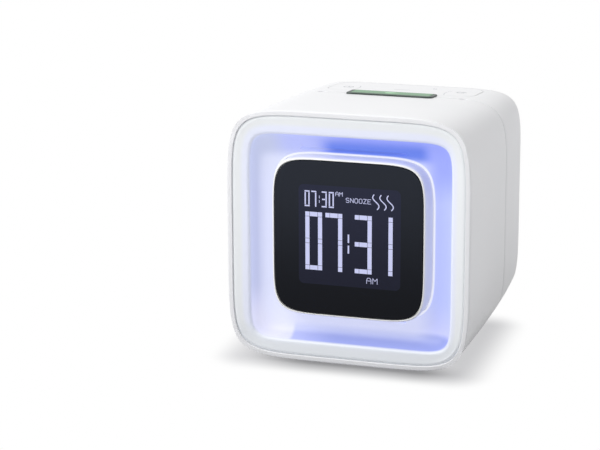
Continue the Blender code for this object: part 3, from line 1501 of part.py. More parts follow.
barrel_rear = BODY_DEPTH - 2 * GAP
barrel = rod(
    "inlet_barrel",
    INLET_BARREL_RADIUS,
    (0, inlet_rear - SHELL_WALL, inlet_height),
    barrel_rear - inlet_rear + SHELL_WALL,
    home=cutters,
    steps=16,
)
bore = turned(
    "inlet_bore",
    [
        (0, 2 * INLET_BORE_DEPTH),
        (INLET_BORE_RADIUS, 2 * INLET_BORE_DEPTH),
        (INLET_BORE_RADIUS, 0),
        (INLET_PIN_RADIUS, 0),
        (INLET_PIN_RADIUS, INLET_BORE_DEPTH - 2 * GAP),
        (0, INLET_BORE_DEPTH - 2 * GAP),
    ],
    (0, barrel_rear - INLET_BORE_DEPTH, inlet_height),
    home=cutters,
    steps=16,
)
join(inlet, barrel)
cut(inlet, bore)

# Buttons, each over a switch on the button board
button_board = sheet(
    "button_board",
    rounded_outline(BUTTON_BOARD_WIDTH, BUTTON_BOARD_HEIGHT, 0.001, steps=2),
    BOARD_THICKNESS,
    BOARD,
    at=(0, BUTTON_BOARD_DEPTH + BOARD_THICKNESS / 2, BUTTON_HEIGHT),
)
flange_reach = BUTTON_FLANGE_DEPTH - BUTTON_FACE_DEPTH
stem_reach = BUTTON_STEM_DEPTH - BUTTON_FACE_DEPTH
for name, x in zip(BUTTON_NAMES, button_xs):
    join(button_board, block(
        name + "_switch",
        (x - SWITCH_SIZE / 2, BUTTON_BOARD_DEPTH + BOARD_THICKNESS / 2, BUTTON_HEIGHT - SWITCH_SIZE / 2),
        (x + SWITCH_SIZE / 2, SWITCH_TOP_DEPTH, BUTTON_HEIGHT + SWITCH_SIZE / 2),
        home=cutters,
    ))
    turned(
        name,
        [
            (0, 0),
            (BUTTON_RADIUS - GAP, 0),
            (BUTTON_RADIUS, -GAP),
            (BUTTON_RADIUS, flange_reach),
            (BUTTON_RADIUS + BUTTON_FLANGE, flange_reach),
            (BUTTON_RADIUS + BUTTON_FLANGE, flange_reach - BUTTON_FLANGE),
            (BUTTON_STEM_RADIUS, flange_reach - BUTTON_FLANGE),
            (BUTTON_STEM_RADIUS, stem_reach),
            (0, stem_reach),
        ],
        (x, BUTTON_FACE_DEPTH, BUTTON_HEIGHT),
        finish=BUTTON_GREY,
        steps=16,
    )

# Speaker on the slotted underside, square to the floor
speaker_seat = (0, SPEAKER_DEPTH, speaker_floor + (SHELL_WALL + GAP) / math.cos(LEAN))
basket_top = SPEAKER_BASKET_HEIGHT + MAGNET_HEIGHT
cup_radius = SPEAKER_RADIUS - SPEAKER_FLANGE
turned(
    "speaker_basket",
    [
        (0, basket_top),
        (MAGNET_RADIUS, basket_top),
        (MAGNET_RADIUS, SPEAKER_BASKET_HEIGHT),
        (MAGNET_RADIUS + SPEAKER_FLANGE, SPEAKER_BASKET_HEIGHT),
        (SPEAKER_RADIUS - SPEAKER_FLANGE, SPEAKER_FLANGE),
        (SPEAKER_RADIUS, SPEAKER_FLANGE),
        (SPEAKER_RADIUS, 0),
        (cup_radius, 0),
        (MAGNET_RADIUS, SPEAKER_BASKET_HEIGHT - SPEAKER_FLANGE),
        (0, SPEAKER_BASKET_HEIGHT - SPEAKER_FLANGE),
    ],
    speaker_seat,
    towards="up",
    finish=BLACK_PLASTIC,
    lean=LEAN,
)
cone_top = SPEAKER_BASKET_HEIGHT - SPEAKER_FLANGE - 2 * GAP
turned(
    "speaker_cone",
    [
        (0, cone_top),
        (MAGNET_RADIUS - 2 * GAP, cone_top),
        (cup_radius - 4 * GAP, CONE_THICKNESS),
        (cup_radius - 4 * GAP, 0),
        (cup_radius - 6 * GAP, 0),
        (MAGNET_RADIUS - 4 * GAP, cone_top - CONE_THICKNESS),
        (MAGNET_RADIUS / 2, cone_top - CONE_THICKNESS),
        (0, cone_top - 3 * CONE_THICKNESS),
    ],
    speaker_seat,
    towards="up",
    finish=PAPER,
    lean=LEAN,
)
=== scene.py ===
# %% [markdown]
# # Dressing a scent alarm clock
#
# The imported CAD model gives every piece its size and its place. This script looks after what the
# eye sees: finely stepped skins for the moulded shells, the lit trough round the display, the
# display's cells, the printed touch marks and a finish for every material. It starts by loading
# the CAD frame and noting its box, because the dressed model has to keep that size.

# %% Load the frame
import math

import bmesh
import bpy
from mathutils import Matrix, Vector


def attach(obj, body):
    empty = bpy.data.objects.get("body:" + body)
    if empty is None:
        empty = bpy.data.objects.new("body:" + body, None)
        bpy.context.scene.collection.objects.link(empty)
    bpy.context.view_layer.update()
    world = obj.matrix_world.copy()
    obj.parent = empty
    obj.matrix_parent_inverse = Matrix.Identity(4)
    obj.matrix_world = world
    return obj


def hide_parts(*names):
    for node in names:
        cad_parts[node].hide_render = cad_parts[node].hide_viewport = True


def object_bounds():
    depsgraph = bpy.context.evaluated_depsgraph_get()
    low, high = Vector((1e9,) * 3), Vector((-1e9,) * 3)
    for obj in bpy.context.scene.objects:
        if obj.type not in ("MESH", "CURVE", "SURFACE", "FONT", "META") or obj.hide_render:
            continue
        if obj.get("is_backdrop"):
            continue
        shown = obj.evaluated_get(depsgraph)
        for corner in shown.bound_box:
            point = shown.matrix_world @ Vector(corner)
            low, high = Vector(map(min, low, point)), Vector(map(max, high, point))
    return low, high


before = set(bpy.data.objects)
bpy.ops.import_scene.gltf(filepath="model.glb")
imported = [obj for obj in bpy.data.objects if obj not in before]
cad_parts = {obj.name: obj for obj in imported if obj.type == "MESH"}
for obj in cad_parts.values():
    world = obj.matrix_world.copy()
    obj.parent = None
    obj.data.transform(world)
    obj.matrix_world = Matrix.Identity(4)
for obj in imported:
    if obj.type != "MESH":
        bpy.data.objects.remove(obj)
cad_box = [list(corner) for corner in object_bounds()]
print("CAD box in metres", cad_box)

# %% [markdown]
# The housing was drawn upright and then leaned back three degrees onto its sloping underside, as
# the real clock stands. It is easiest to model in the upright frame: x to the right, depth behind
# the front rim, and height above the middle line, all in millimetres. One matrix then takes each
# finished mesh to its place in the CAD frame, so that every object stays at the origin, unturned.

# %% The clock's own frame
MM = 0.001
LEAN = math.radians(3.0)
CLOCK_ORIGIN = Vector((0.0, -0.05845, 0.055226))
CLOCK = Matrix.Translation(CLOCK_ORIGIN) @ Matrix.Rotation(-LEAN, 4, "X") @ Matrix.Scale(MM, 4)
BODY_WIDTH, BODY_HEIGHT, BODY_DEPTH = 105.0, 107.8, 118.0
WALL = 2.4
GAP = 0.3
print("the front rim's middle is at", tuple(round(c, 4) for c in CLOCK.translation))

# %% [markdown]
# Every cross-section of the body is a superellipse, the curve between an ellipse and a rectangle:
# |x/a|^n + |y/b|^n = 1. A high n gives the squarish, crowned look of the shell. The half width, the
# half height and n change slowly with depth, so one function describes the whole outside.

# %% Sections of the body
TOP_SLOPE = math.radians(4.0)
SIDE_TAPER = 4.2
FRONT_SQUARENESS, REAR_SQUARENESS = 5.7, 7.8


def section(depth, inset=0.0):
    """Half width, half height, middle height and squareness at a depth."""
    share = depth / BODY_DEPTH
    half_width = BODY_WIDTH / 2 - SIDE_TAPER * share ** 3
    top = BODY_HEIGHT / 2 - depth * math.tan(TOP_SLOPE)
    under = BODY_HEIGHT / 2 - depth * math.tan(LEAN)
    squareness = FRONT_SQUARENESS + (REAR_SQUARENESS - FRONT_SQUARENESS) * share
    return half_width - inset, (top + under) / 2 - inset, (top - under) / 2, squareness


def surface_height(x, depth, side=1):
    half_width, half_height, middle, n = section(depth)
    return middle + side * half_height * (1 - abs(x / half_width) ** n) ** (1 / n)


print("half width and height at the back:", [round(v, 2) for v in section(BODY_DEPTH)[:2]])

# %% [markdown]
# A ring is a run of points on one section. The points crowd into the corners, where the curve turns
# fastest, and their angles are the same on every ring, so that one ring can be joined to the next.

# %% Rings
QUARTER = 26
EVEN_SHARE, CORNER_SHARE = 0.42, 0.58


def ring_angles():
    quarter = []
    for step in range(QUARTER):
        s = 2 * step / QUARTER - 1
        quarter.append(math.radians(45 + 45 * (EVEN_SHARE * s + CORNER_SHARE * s ** 3)))
    return [turn * math.pi / 2 + angle for turn in range(4) for angle in quarter]


ANGLES = ring_angles()


def ring(depth, half_width, half_height, n, middle=0.0, aside=0.0):
    points = []
    for angle in ANGLES:
        c, s = math.cos(angle), math.sin(angle)
        reach = (abs(c) ** n + abs(s) ** n) ** (-1 / n)
        x = aside + half_width * reach * c
        points.append(Vector((x, depth, middle + half_height * reach * s)))
    return points


def body_ring(depth, inset=0.0):
    half_width, half_height, middle, n = section(depth, inset)
    return ring(depth, half_width, half_height, n, middle)


print("points on a ring:", len(ANGLES))

# %% [markdown]
# A skin joins rings into a mesh. Rings that go back in depth make an outer side, and rings that come
# forward again make an inner side, so faces always point outwards. A closed skin joins its last ring
# to the first, as on a sleeve, and a capped one gets a flat face at both ends.

# %% Skins
def new_object(name, mesh):
    made = bpy.data.objects.new(name, mesh)
    bpy.context.scene.collection.objects.link(made)
    return made


def from_bmesh(name, bm):
    mesh = bpy.data.meshes.new(name)
    bm.to_mesh(mesh)
    bm.free()
    return new_object(name, mesh)


def skin(name, rings, closed=False, capped=False):
    bm = bmesh.new()
    rows = [[bm.verts.new(point) for point in points] for points in rings]
    pairs = list(zip(rows, rows[1:] + rows[:1])) if closed else list(zip(rows, rows[1:]))
    count = len(rows[0])
    for first, second in pairs:
        for k in range(count):
            n = (k + 1) % count
            bm.faces.new((first[k], second[k], second[n], first[n]))
    if capped:
        bm.faces.new(rows[0])
        bm.faces.new(list(reversed(rows[-1])))
    return from_bmesh(name, bm)


print("faces between two rings:", len(ANGLES))

# %% [markdown]
# Flat pieces and cutters start as outlines. A helper extrudes a closed outline along the depth, or
# upwards, with an optional small bevel on its rims. Round pieces are profiles turned about an axis.

# %% Plates and turned pieces
def rounded(width, height, corner, steps=8, middle=(0.0, 0.0)):
    """Points of a rectangle with round corners, counter-clockwise."""
    points = []
    for turn in range(4):
        sx, sy = ((1, 1), (-1, 1), (-1, -1), (1, -1))[turn]
        cx = middle[0] + sx * (width / 2 - corner)
        cy = middle[1] + sy * (height / 2 - corner)
        for step in range(steps + 1):
            angle = (turn + step / steps) * math.pi / 2
            points.append((cx + corner * math.cos(angle), cy + corner * math.sin(angle)))
    return points


def plate(name, outline, start, end, facing="front", bevel=0.0, segments=3):
    """A prism between two depths (facing front) or two heights (facing up)."""
    bm = bmesh.new()
    lower, upper = [], []
    for u, v in outline:
        spots = ((u, start, v), (u, end, v)) if facing == "front" else ((u, v, end), (u, v, start))
        upper.append(bm.verts.new(spots[0]))
        lower.append(bm.verts.new(spots[1]))
    count = len(outline)
    for k in range(count):
        n = (k + 1) % count
        bm.faces.new((upper[k], lower[k], lower[n], upper[n]))
    faces = [bm.faces.new(upper), bm.faces.new(list(reversed(lower)))]
    if bevel:
        rims = {edge for face in faces for edge in face.edges}
        bmesh.ops.bevel(bm, geom=list(rims), offset=bevel, segments=segments, profile=0.5, affect="EDGES")
    return from_bmesh(name, bm)


def turned(name, profile, at, towards="back", steps=64, lean=0.0):
    """Turns (radius, distance) pairs, listed down the outer side, about an axis."""
    turns = {"back": -math.pi / 2, "up": 0.0}
    place = Matrix.Translation(at) @ Matrix.Rotation(turns[towards] + lean, 4, "X")
    bm = bmesh.new()
    rows = []
    for radius, along in profile:
        angles = [2 * math.pi * k / steps for k in range(steps if radius else 1)]
        rows.append([bm.verts.new((radius * math.cos(a), radius * math.sin(a), along)) for a in angles])
    for first, second in zip(rows, rows[1:]):
        for k in range(steps):
            n = (k + 1) % steps
            corners = [first[k % len(first)], second[k % len(second)]]
            corners += [second[n % len(second)], first[n % len(first)]]
            face = [v for i, v in enumerate(corners) if v not in corners[:i]]
            bm.faces.new(face)
    bmesh.ops.transform(bm, matrix=place, verts=bm.verts)
    return from_bmesh(name, bm)


print("a round corner has", len(rounded(10, 10, 2)), "points in all")

# %% [markdown]
# Moulded shells get their slots and holes by subtraction and their tubes by joining. One helper
# does both, and trims as well, and its tools are thrown away once the result is a plain mesh. The
# last helper settles a finished piece: it bakes what is left on the modifier stack, moves the mesh
# into the CAD frame, hangs it on the body it rides on, gives it its finish and hides the CAD nodes
# it stands for.

# %% Cutting and settling
CUT, FUSE, TRIM = "DIFFERENCE", "UNION", "INTERSECT"


def baked(obj):
    """The object's evaluated mesh as a plain mesh, with every modifier gone."""
    bpy.context.view_layer.update()
    seen = obj.evaluated_get(bpy.context.evaluated_depsgraph_get())
    mesh = bpy.data.meshes.new_from_object(seen)
    obj.modifiers.clear()
    obj.data = mesh
    return obj


def carve(obj, how, *tools, keep=False):
    """Cuts, fuses or trims with each tool in turn. The tools go, unless they are kept."""
    for tool in tools:
        change = obj.modifiers.new("carve", "BOOLEAN")
        change.operation = how
        change.solver = "EXACT"
        change.object = tool
    baked(obj)
    if not keep:
        for tool in tools:
            bpy.data.objects.remove(tool)
    return obj


def settle(obj, body, finish=None, replaced=(), sharp=32):
    baked(obj)
    obj.data.name = obj.name
    obj.data.transform(CLOCK)
    obj.matrix_world = Matrix.Identity(4)
    obj.data.shade_smooth()
    obj.data.set_sharp_from_angle(angle=math.radians(sharp))
    if finish is not None:
        obj.data.materials.clear()
        obj.data.materials.append(finish)
    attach(obj, body)
    if replaced:
        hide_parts(*replaced)
    print(f"{obj.name}: {len(obj.data.polygons)} faces on {body}")
    return obj


# %% [markdown]
# Finishes are node trees. One helper adds a node, sets its properties and feeds its inputs, whether
# from another node's socket or with a plain value. Colours are written as the sRGB hex values one
# would pick from a picture, and a single function turns them into the linear light that shaders
# use.

# %% Node and colour helpers
def linear(hex_colour):
    values = []
    for k in (1, 3, 5):
        c = int(hex_colour[k:k + 2], 16) / 255
        values.append(c / 12.92 if c <= 0.04045 else ((c + 0.055) / 1.055) ** 2.4)
    return (*values, 1.0)


def add(tree, kind, settings=None, inputs=None):
    node = tree.nodes.new(kind)
    for key, value in (settings or {}).items():
        setattr(node, key, value)
    for key, value in (inputs or {}).items():
        if isinstance(value, bpy.types.NodeSocket):
            tree.links.new(value, node.inputs[key])
        else:
            node.inputs[key].default_value = value
    return node


print("mid grey #808080 is", round(linear("#808080")[0], 3), "in linear light")

# %% [markdown]
# Most looks are painted, as a model maker would with an airbrush. A soft field is a mask with smooth
# edges, made of any number of steps. Each colour is then laid over what lies under it by such a mask.

# %% Soft fields and painting
def soft_field(tree, *steps, most=1.0):
    """A mask that reaches most where every step has risen. A step is a value, its start and end."""
    field = most
    for value, start, end in steps:
        falls = end < start
        step = add(
            tree,
            "ShaderNodeMapRange",
            {"interpolation_type": "SMOOTHSTEP"},
            {
                "Value": value,
                "From Min": min(start, end),
                "From Max": max(start, end),
                "To Min": 1.0 if falls else 0.0,
                "To Max": 0.0 if falls else 1.0,
            },
        )
        both = add(tree, "ShaderNodeMath", {"operation": "MULTIPLY"}, {0: step.outputs[0], 1: field})
        field = both.outputs[0]
    return field


def painted(tree, ground, *layers):
    """Lays colours over a ground, each by its mask. A colour is a hex value or a socket."""
    for mask, colour in layers:
        under, over = (linear(tone) if isinstance(tone, str) else tone for tone in (ground, colour))
        blend = add(tree, "ShaderNodeMix", {"data_type": "RGBA"}, {0: mask, 6: under, 7: over})
        ground = blend.outputs[2]
    return ground


print("ready to paint")

# %% [markdown]
# A material starts from the plain settings of its shader. Patterns read the object's coordinates,
# and a Mapping node takes these into the clock's own upright frame, in millimetres, so that the
# scale of a pattern can be written as a real size.

# %% New materials
def new_material(name, colour, roughness, metallic=0.0, ior=1.5):
    """A material with its shader, and the object's coordinates in the clock's frame, in mm."""
    made = bpy.data.materials.new(name)
    made.use_nodes = True
    tree = made.node_tree
    shader = tree.nodes["Principled BSDF"]
    shader.inputs["Base Color"].default_value = linear(colour)
    shader.inputs["Roughness"].default_value = roughness
    shader.inputs["Metallic"].default_value = metallic
    if not metallic:
        shader.inputs["IOR"].default_value = ior
    coordinates = add(tree, "ShaderNodeTexCoord")
    place = add(
        tree,
        "ShaderNodeMapping",
        {"vector_type": "TEXTURE"},
        {
            "Vector": coordinates.outputs["Object"],
            "Location": CLOCK_ORIGIN,
            "Rotation": (-LEAN, 0.0, 0.0),
            "Scale": (MM, MM, MM),
        },
    )
    return made, tree, shader, place.outputs["Vector"]


print("patterns turn back by", round(math.degrees(LEAN), 1), "degrees")

# %% [markdown]
# The housing is moulded in white ABS with a fine satin polish. The eye reads it from broad soft
# highlights and from a very slight unevenness that moulding leaves. A fine noise moves the
# roughness and the surface by a hair, and a slower one tints the white by one or two levels.

# %% White ABS
DRIFT_MM, GLOSS_DRIFT = 34, 0.05


def satin_plastic(name, colour, tint, roughness, grain_mm, bump, ior=1.5):
    """A moulded plastic: a slow drift between two near colours and a fine satin grain."""
    made, tree, shader, spot = new_material(name, colour, roughness, ior=ior)
    drift = add(tree, "ShaderNodeTexNoise", None, {"Vector": spot, "Scale": 1 / DRIFT_MM, "Detail": 2.0})
    blend = painted(tree, colour, (drift.outputs["Fac"], tint))
    tree.links.new(blend, shader.inputs["Base Color"])
    grain = add(tree, "ShaderNodeTexNoise", None, {"Vector": spot, "Scale": 1 / grain_mm, "Detail": 3.0})
    fine = grain.outputs["Fac"]
    dullest, glossiest = roughness + GLOSS_DRIFT, roughness - GLOSS_DRIFT
    spread = add(
        tree, "ShaderNodeMapRange", None, {"Value": fine, "To Min": glossiest, "To Max": dullest}
    )
    tree.links.new(spread.outputs["Result"], shader.inputs["Roughness"])
    relief = add(
        tree,
        "ShaderNodeBump",
        None,
        {"Height": fine, "Strength": bump, "Distance": grain_mm * MM * 0.1},
    )
    tree.links.new(relief.outputs["Normal"], shader.inputs["Normal"])
    return made


white_abs = satin_plastic("white_satin_abs", "#EDEDEF", "#E9EAEC", 0.40, 0.9, 0.25)
print("white ABS is ready")

# %% [markdown]
# The clock is photographed from a little to the right and above, with a long lens. The camera was
# solved from the outlines of the rim, the window and the seam, so its numbers are fixed here in the
# clock's frame and carried over by the same matrix as the meshes.

# %% Camera
CAMERA_AZIMUTH, CAMERA_ELEVATION, CAMERA_ROLL = map(math.radians, (18.168, 14.46, -0.252))
CAMERA_DISTANCE, PAN_X, PAN_UP = 865.756, 19.187, -6.802
FOCAL_PIXELS, IMAGE_WIDTH = 2096.396, 600
SENSOR = 36.0

back = Vector((
    math.sin(CAMERA_AZIMUTH) * math.cos(CAMERA_ELEVATION),
    -math.cos(CAMERA_AZIMUTH) * math.cos(CAMERA_ELEVATION),
    math.sin(CAMERA_ELEVATION),
))
right = (-back).cross(Vector((0, 0, 1))).normalized()
up = right.cross(-back)
c, s = math.cos(CAMERA_ROLL), math.sin(CAMERA_ROLL)
right, up = c * right + s * up, -s * right + c * up
eye = back * CAMERA_DISTANCE - PAN_X * right - PAN_UP * up
turn = Matrix((right, up, back)).transposed().to_4x4()

camera_data = bpy.data.cameras.new("camera")
camera_data.sensor_width = SENSOR
camera_data.lens = FOCAL_PIXELS / IMAGE_WIDTH * SENSOR
camera_data.clip_end = 20.0
camera = bpy.data.objects.new("camera", camera_data)
bpy.context.scene.collection.objects.link(camera)
lean_turn = Matrix.Rotation(-LEAN, 4, "X")
camera.matrix_world = Matrix.Translation(CLOCK @ eye) @ lean_turn @ turn
bpy.context.scene.camera = camera
print("lens", round(camera_data.lens, 1), "mm, eye at", [round(v, 3) for v in CLOCK @ eye])

# %% [markdown]
# The surrounding is an even white room that is a trace darker on the right. A soft shade high at the
# front right takes some light away there, so that the top and the right side of the clock round off
# gently. Light Path lets the camera, gloss and glass see plain white, whatever light the room gives.

# %% Surrounding
ROOM_LEFT, ROOM_RIGHT = 0.79, 0.75
SHADE_TOWARDS, SHADE_SPAN, SHADE_DEPTH = (0.72, -0.50, 0.48), (0.45, 0.98), 0.36


def direct_view(tree):
    """1 where the camera, a reflection or a refraction looks straight at this surface."""
    path = add(tree, "ShaderNodeLightPath")
    seen = path.outputs["Is Camera Ray"]
    for ray in ("Is Glossy Ray", "Is Transmission Ray"):
        either = add(tree, "ShaderNodeMath", {"operation": "MAXIMUM"}, {0: seen, 1: path.outputs[ray]})
        seen = either.outputs[0]
    return seen


world = bpy.data.worlds.new("studio")
bpy.context.scene.world = world
world.use_nodes = True
sky = world.node_tree
sky.nodes.clear()
towards = add(sky, "ShaderNodeTexCoord").outputs["Generated"]
sides = add(sky, "ShaderNodeSeparateXYZ", None, {0: towards})
level = add(
    sky,
    "ShaderNodeMapRange",
    None,
    {
        "Value": sides.outputs["X"],
        "From Min": -1.0,
        "From Max": 1.0,
        "To Min": ROOM_LEFT,
        "To Max": ROOM_RIGHT,
    },
)
facing = add(sky, "ShaderNodeVectorMath", {"operation": "DOT_PRODUCT"}, {0: towards, 1: SHADE_TOWARDS})
shade = soft_field(sky, (facing.outputs["Value"], *SHADE_SPAN), most=SHADE_DEPTH)
left_over = add(sky, "ShaderNodeMath", {"operation": "SUBTRACT"}, {0: level.outputs["Result"], 1: shade})
white = linear("#FFFFFF")
room = add(sky, "ShaderNodeBackground", None, {"Color": white, "Strength": left_over.outputs[0]})
seen = add(sky, "ShaderNodeBackground", None, {"Color": white, "Strength": 1.0})
either = add(
    sky, "ShaderNodeMixShader", None, {0: direct_view(sky), 1: room.outputs[0], 2: seen.outputs[0]}
)
add(sky, "ShaderNodeOutputWorld", None, {"Surface": either.outputs[0]})
print("the room gives", ROOM_LEFT, "on the left and", ROOM_RIGHT, "on the right")

# %% [markdown]
# The clock stands on a large sheet of white card. Its tones depend on how far a spot lies from one
# rectangle under the clock, so that distance is worked out first, in metres.

# %% Floor
FLOOR_SIZE = 3.0
HALF_WIDE, FRONT_EDGE, REAR_EDGE = 0.045, -0.056, 0.004


def outside(tree, value, low, high, corner=0.0):
    """How far a coordinate lies beyond a straight stretch that ends a corner's radius inside."""
    middle, straight = (low + high) / 2, (high - low) / 2 - corner
    centred = add(tree, "ShaderNodeMath", {"operation": "SUBTRACT"}, {0: value, 1: middle})
    size = add(tree, "ShaderNodeMath", {"operation": "ABSOLUTE"}, {0: centred.outputs[0]})
    over = add(tree, "ShaderNodeMath", {"operation": "SUBTRACT"}, {0: size.outputs[0], 1: straight})
    return add(tree, "ShaderNodeMath", {"operation": "MAXIMUM"}, {0: over.outputs[0], 1: 0.0}).outputs[0]


bm = bmesh.new()
bmesh.ops.create_grid(bm, x_segments=1, y_segments=1, size=FLOOR_SIZE / 2)
floor = from_bmesh("floor", bm)
floor_finish = bpy.data.materials.new("white_card")
floor_finish.use_nodes = True
card = floor_finish.node_tree
card.nodes.clear()
where = add(card, "ShaderNodeTexCoord")
plan = add(card, "ShaderNodeSeparateXYZ", None, {0: where.outputs["Object"]})
plan_x, plan_y = plan.outputs["X"], plan.outputs["Y"]
off_x = outside(card, plan_x, -HALF_WIDE, HALF_WIDE)
off_y = outside(card, plan_y, FRONT_EDGE, REAR_EDGE)
away = add(card, "ShaderNodeCombineXYZ", None, {"X": off_x, "Y": off_y})
length = add(card, "ShaderNodeVectorMath", {"operation": "LENGTH"}, {0: away.outputs[0]})
reach = length.outputs["Value"]
print("floor:", FLOOR_SIZE, "m square")

# %% [markdown]
# The card turns to plain white two centimetres away from the clock. Nearer, a soft grey is painted
# on it, darkest just in front, as a painted contact shadow, and it also takes the clock's real soft
# shadow. Its own colour is darker near the clock than further away, and darkest on the right, so
# that it throws less light back there; where it shows, this darker colour is painted shade too.

# %% Tones of the floor
FADE, PAINTED_SHADOW_REACH, BOUNCE = (0.000, 0.020), (0.001, 0.017), (0.000, 0.090)
CARD_GLOW = 0.74
RIGHT_OF_CLOCK = (0.010, 0.060)
IN_FRONT, FRONT_LEFT, FRONT_RIGHT = (-0.046, -0.058), (-0.050, -0.015), (0.052, 0.028)
# Painted shade: the card's own colour darkens near the clock, most of all on its right.
shade_on_right, far = soft_field(card, (plan_x, *RIGHT_OF_CLOCK)), soft_field(card, (reach, *BOUNCE))
card_colour_with_painted_shade = painted(card, "#B8B8BA", (shade_on_right, "#5C5C5E"), (far, "#E6E6E8"))
matt = add(card, "ShaderNodeBsdfDiffuse", None, {"Color": card_colour_with_painted_shade, "Roughness": 1.0})

# Painted contact shadow: grey, darkest just in front of the clock, fading to white further out.
painted_shadow_in_front = soft_field(card, (plan_y, *IN_FRONT), (plan_x, *FRONT_LEFT), (plan_x, *FRONT_RIGHT))
card_tone_with_painted_shadow = painted(card, "#E6E6E8", (painted_shadow_in_front, "#A2A2A4"), (soft_field(card, (reach, *PAINTED_SHADOW_REACH)), "#FFFFFF"))
plain = add(card, "ShaderNodeEmission", None, {"Color": card_tone_with_painted_shadow, "Strength": 1.0})
fade = soft_field(card, (reach, *FADE))
lit = add(card, "ShaderNodeMapRange", None, {"Value": fade, "To Min": CARD_GLOW, "To Max": 1.0})
shown = add(
    card, "ShaderNodeMath", {"operation": "MULTIPLY"}, {0: lit.outputs["Result"], 1: direct_view(card)}
)
surface = add(
    card, "ShaderNodeMixShader", None, {0: shown.outputs[0], 1: matt.outputs[0], 2: plain.outputs[0]}
)
add(card, "ShaderNodeOutputMaterial", None, {"Surface": surface.outputs[0]})
floor.data.materials.append(floor_finish)
floor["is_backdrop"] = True
print("the floor turns white between", *FADE, "m from the clock")

# %% [markdown]
# One large round soft light stands high at the front left, as a studio's key light does. Its level is
# plain: a white surface that faces it comes out just under white, so colours read as written.

# %% Key light
LIGHT_AT, LIGHT_AIM = Vector((-0.55, -0.60, 0.95)), Vector((0, 0, 0.05))
LIGHT_SIZE, LIGHT_POWER = 1.0, 8.8
light = bpy.data.lights.new("key", "AREA")
light.shape = "DISK"
light.size = LIGHT_SIZE
light.energy = LIGHT_POWER
lamp = bpy.data.objects.new("key", light)
bpy.context.scene.collection.objects.link(lamp)
lamp.location = LIGHT_AT
lamp.rotation_euler = (LIGHT_AIM - LIGHT_AT).to_track_quat("-Z", "Y").to_euler()
bpy.context.scene.view_settings.view_transform = "Standard"
print("key light at", tuple(round(v, 2) for v in LIGHT_AT))

# %% [markdown]
# The front shell is a sleeve that is open at both ends. Its front rim is a narrow flat face with a
# tightly rolled edge, its outside is crowned on all four sides, and its rear edge meets the back
# shell at a fine seam. It is skinned as one closed loop of rings: outside from front to back, then
# inside from back to front.

# %% Front shell
LIP_WIDTH, LIP_HEIGHT, LIP_SQUARENESS = 50.23, 51.46, 7.0
LIP_FLAT, LIP_DEPTH, ROLL_DEPTH = 1.5, 2.6, 1.3
LIP_EDGE = 0.15
SEAM = 67.7
SEAM_GAP, SEAM_ROUND = 0.6, 0.3


def front_outside():
    rings = [
        ring(LIP_EDGE, LIP_WIDTH, LIP_HEIGHT, LIP_SQUARENESS),
        ring(0.0, LIP_WIDTH + LIP_EDGE, LIP_HEIGHT + LIP_EDGE, LIP_SQUARENESS),
    ]
    steps = 10
    for step in range(steps + 1):
        angle = math.pi / 2 * step / steps
        blend = math.sin(angle)
        depth = ROLL_DEPTH * (1 - math.cos(angle))
        half_width, half_height, middle, n = section(depth)
        flat_width, flat_height = LIP_WIDTH + LIP_FLAT, LIP_HEIGHT + LIP_FLAT
        rings.append(ring(
            depth,
            flat_width + (half_width - flat_width) * blend,
            flat_height + (half_height - flat_height) * blend,
            LIP_SQUARENESS + (n - LIP_SQUARENESS) * blend,
            middle * blend,
        ))
    end = SEAM - SEAM_GAP / 2
    for k in range(1, 13):
        rings.append(body_ring(ROLL_DEPTH + (end - SEAM_ROUND - ROLL_DEPTH) * k / 12))
    for step in (1, 2, 3):
        angle = math.pi / 2 * step / 3
        inset = SEAM_ROUND * (1 - math.cos(angle))
        rings.append(body_ring(end - SEAM_ROUND + SEAM_ROUND * math.sin(angle), inset))
    return rings


def front_inside():
    rings = [body_ring(SEAM - SEAM_GAP / 2, WALL)]
    rings += [body_ring(depth, WALL) for depth in (50.0, 34.0, 18.0, LIP_DEPTH + WALL)]
    rings.append(ring(LIP_DEPTH, LIP_WIDTH, LIP_HEIGHT, LIP_SQUARENESS))
    return rings


front_shell = skin("front_shell", front_outside() + front_inside(), closed=True)
print("front shell:", len(front_shell.data.vertices), "points")

# %% [markdown]
# The back shell is a cup. Its outside goes back from the seam and rounds onto a flat back; inside
# it follows a wall's thickness behind, and a thin tongue reaches forward under the front shell.

# %% Back shell
REAR_ROUND = 11.5
TONGUE = 1.3
TONGUE_LENGTH = 3.0


def back_outside():
    start, round_start = SEAM + SEAM_GAP / 2 + SEAM_ROUND, BODY_DEPTH - REAR_ROUND
    rings = [
        body_ring(SEAM + SEAM_GAP / 2, SEAM_ROUND),
        body_ring(start - SEAM_ROUND * 0.7, SEAM_ROUND * 0.3),
    ]
    rings += [body_ring(start + (round_start - start) * k / 8) for k in range(8)]
    steps = 14
    for step in range(steps + 1):
        angle = math.pi / 2 * step / steps
        depth = round_start + REAR_ROUND * math.sin(angle)
        rings.append(body_ring(depth, REAR_ROUND * (1 - math.cos(angle))))
    return rings


def back_inside():
    inner, round_start = REAR_ROUND - WALL, BODY_DEPTH - REAR_ROUND
    rings = []
    for step in range(5, -1, -1):
        angle = math.pi / 2 * step / 5
        inset = WALL + inner * (1 - math.cos(angle))
        rings.append(body_ring(round_start + inner * math.sin(angle), inset))
    outer, within = WALL + GAP, WALL + GAP + TONGUE
    rings += [body_ring(90.0, WALL), body_ring(SEAM + 2 * TONGUE, WALL), body_ring(SEAM + TONGUE, within)]
    rings += [body_ring(SEAM - TONGUE_LENGTH, within), body_ring(SEAM - TONGUE_LENGTH, outer)]
    rings.append(body_ring(SEAM + SEAM_GAP / 2, outer))
    return rings


back_shell = skin("back_shell", back_inside() + back_outside(), capped=True)
print("back shell:", len(back_shell.data.vertices), "points")

# %% [markdown]
# Geometry Nodes make the things that repeat. Each tree takes a mesh of points and a few named
# sizes, puts a shape on every point, and ends by making the copies real and giving them their
# material. A modifier's inputs are set by their identifiers before the object is first evaluated.

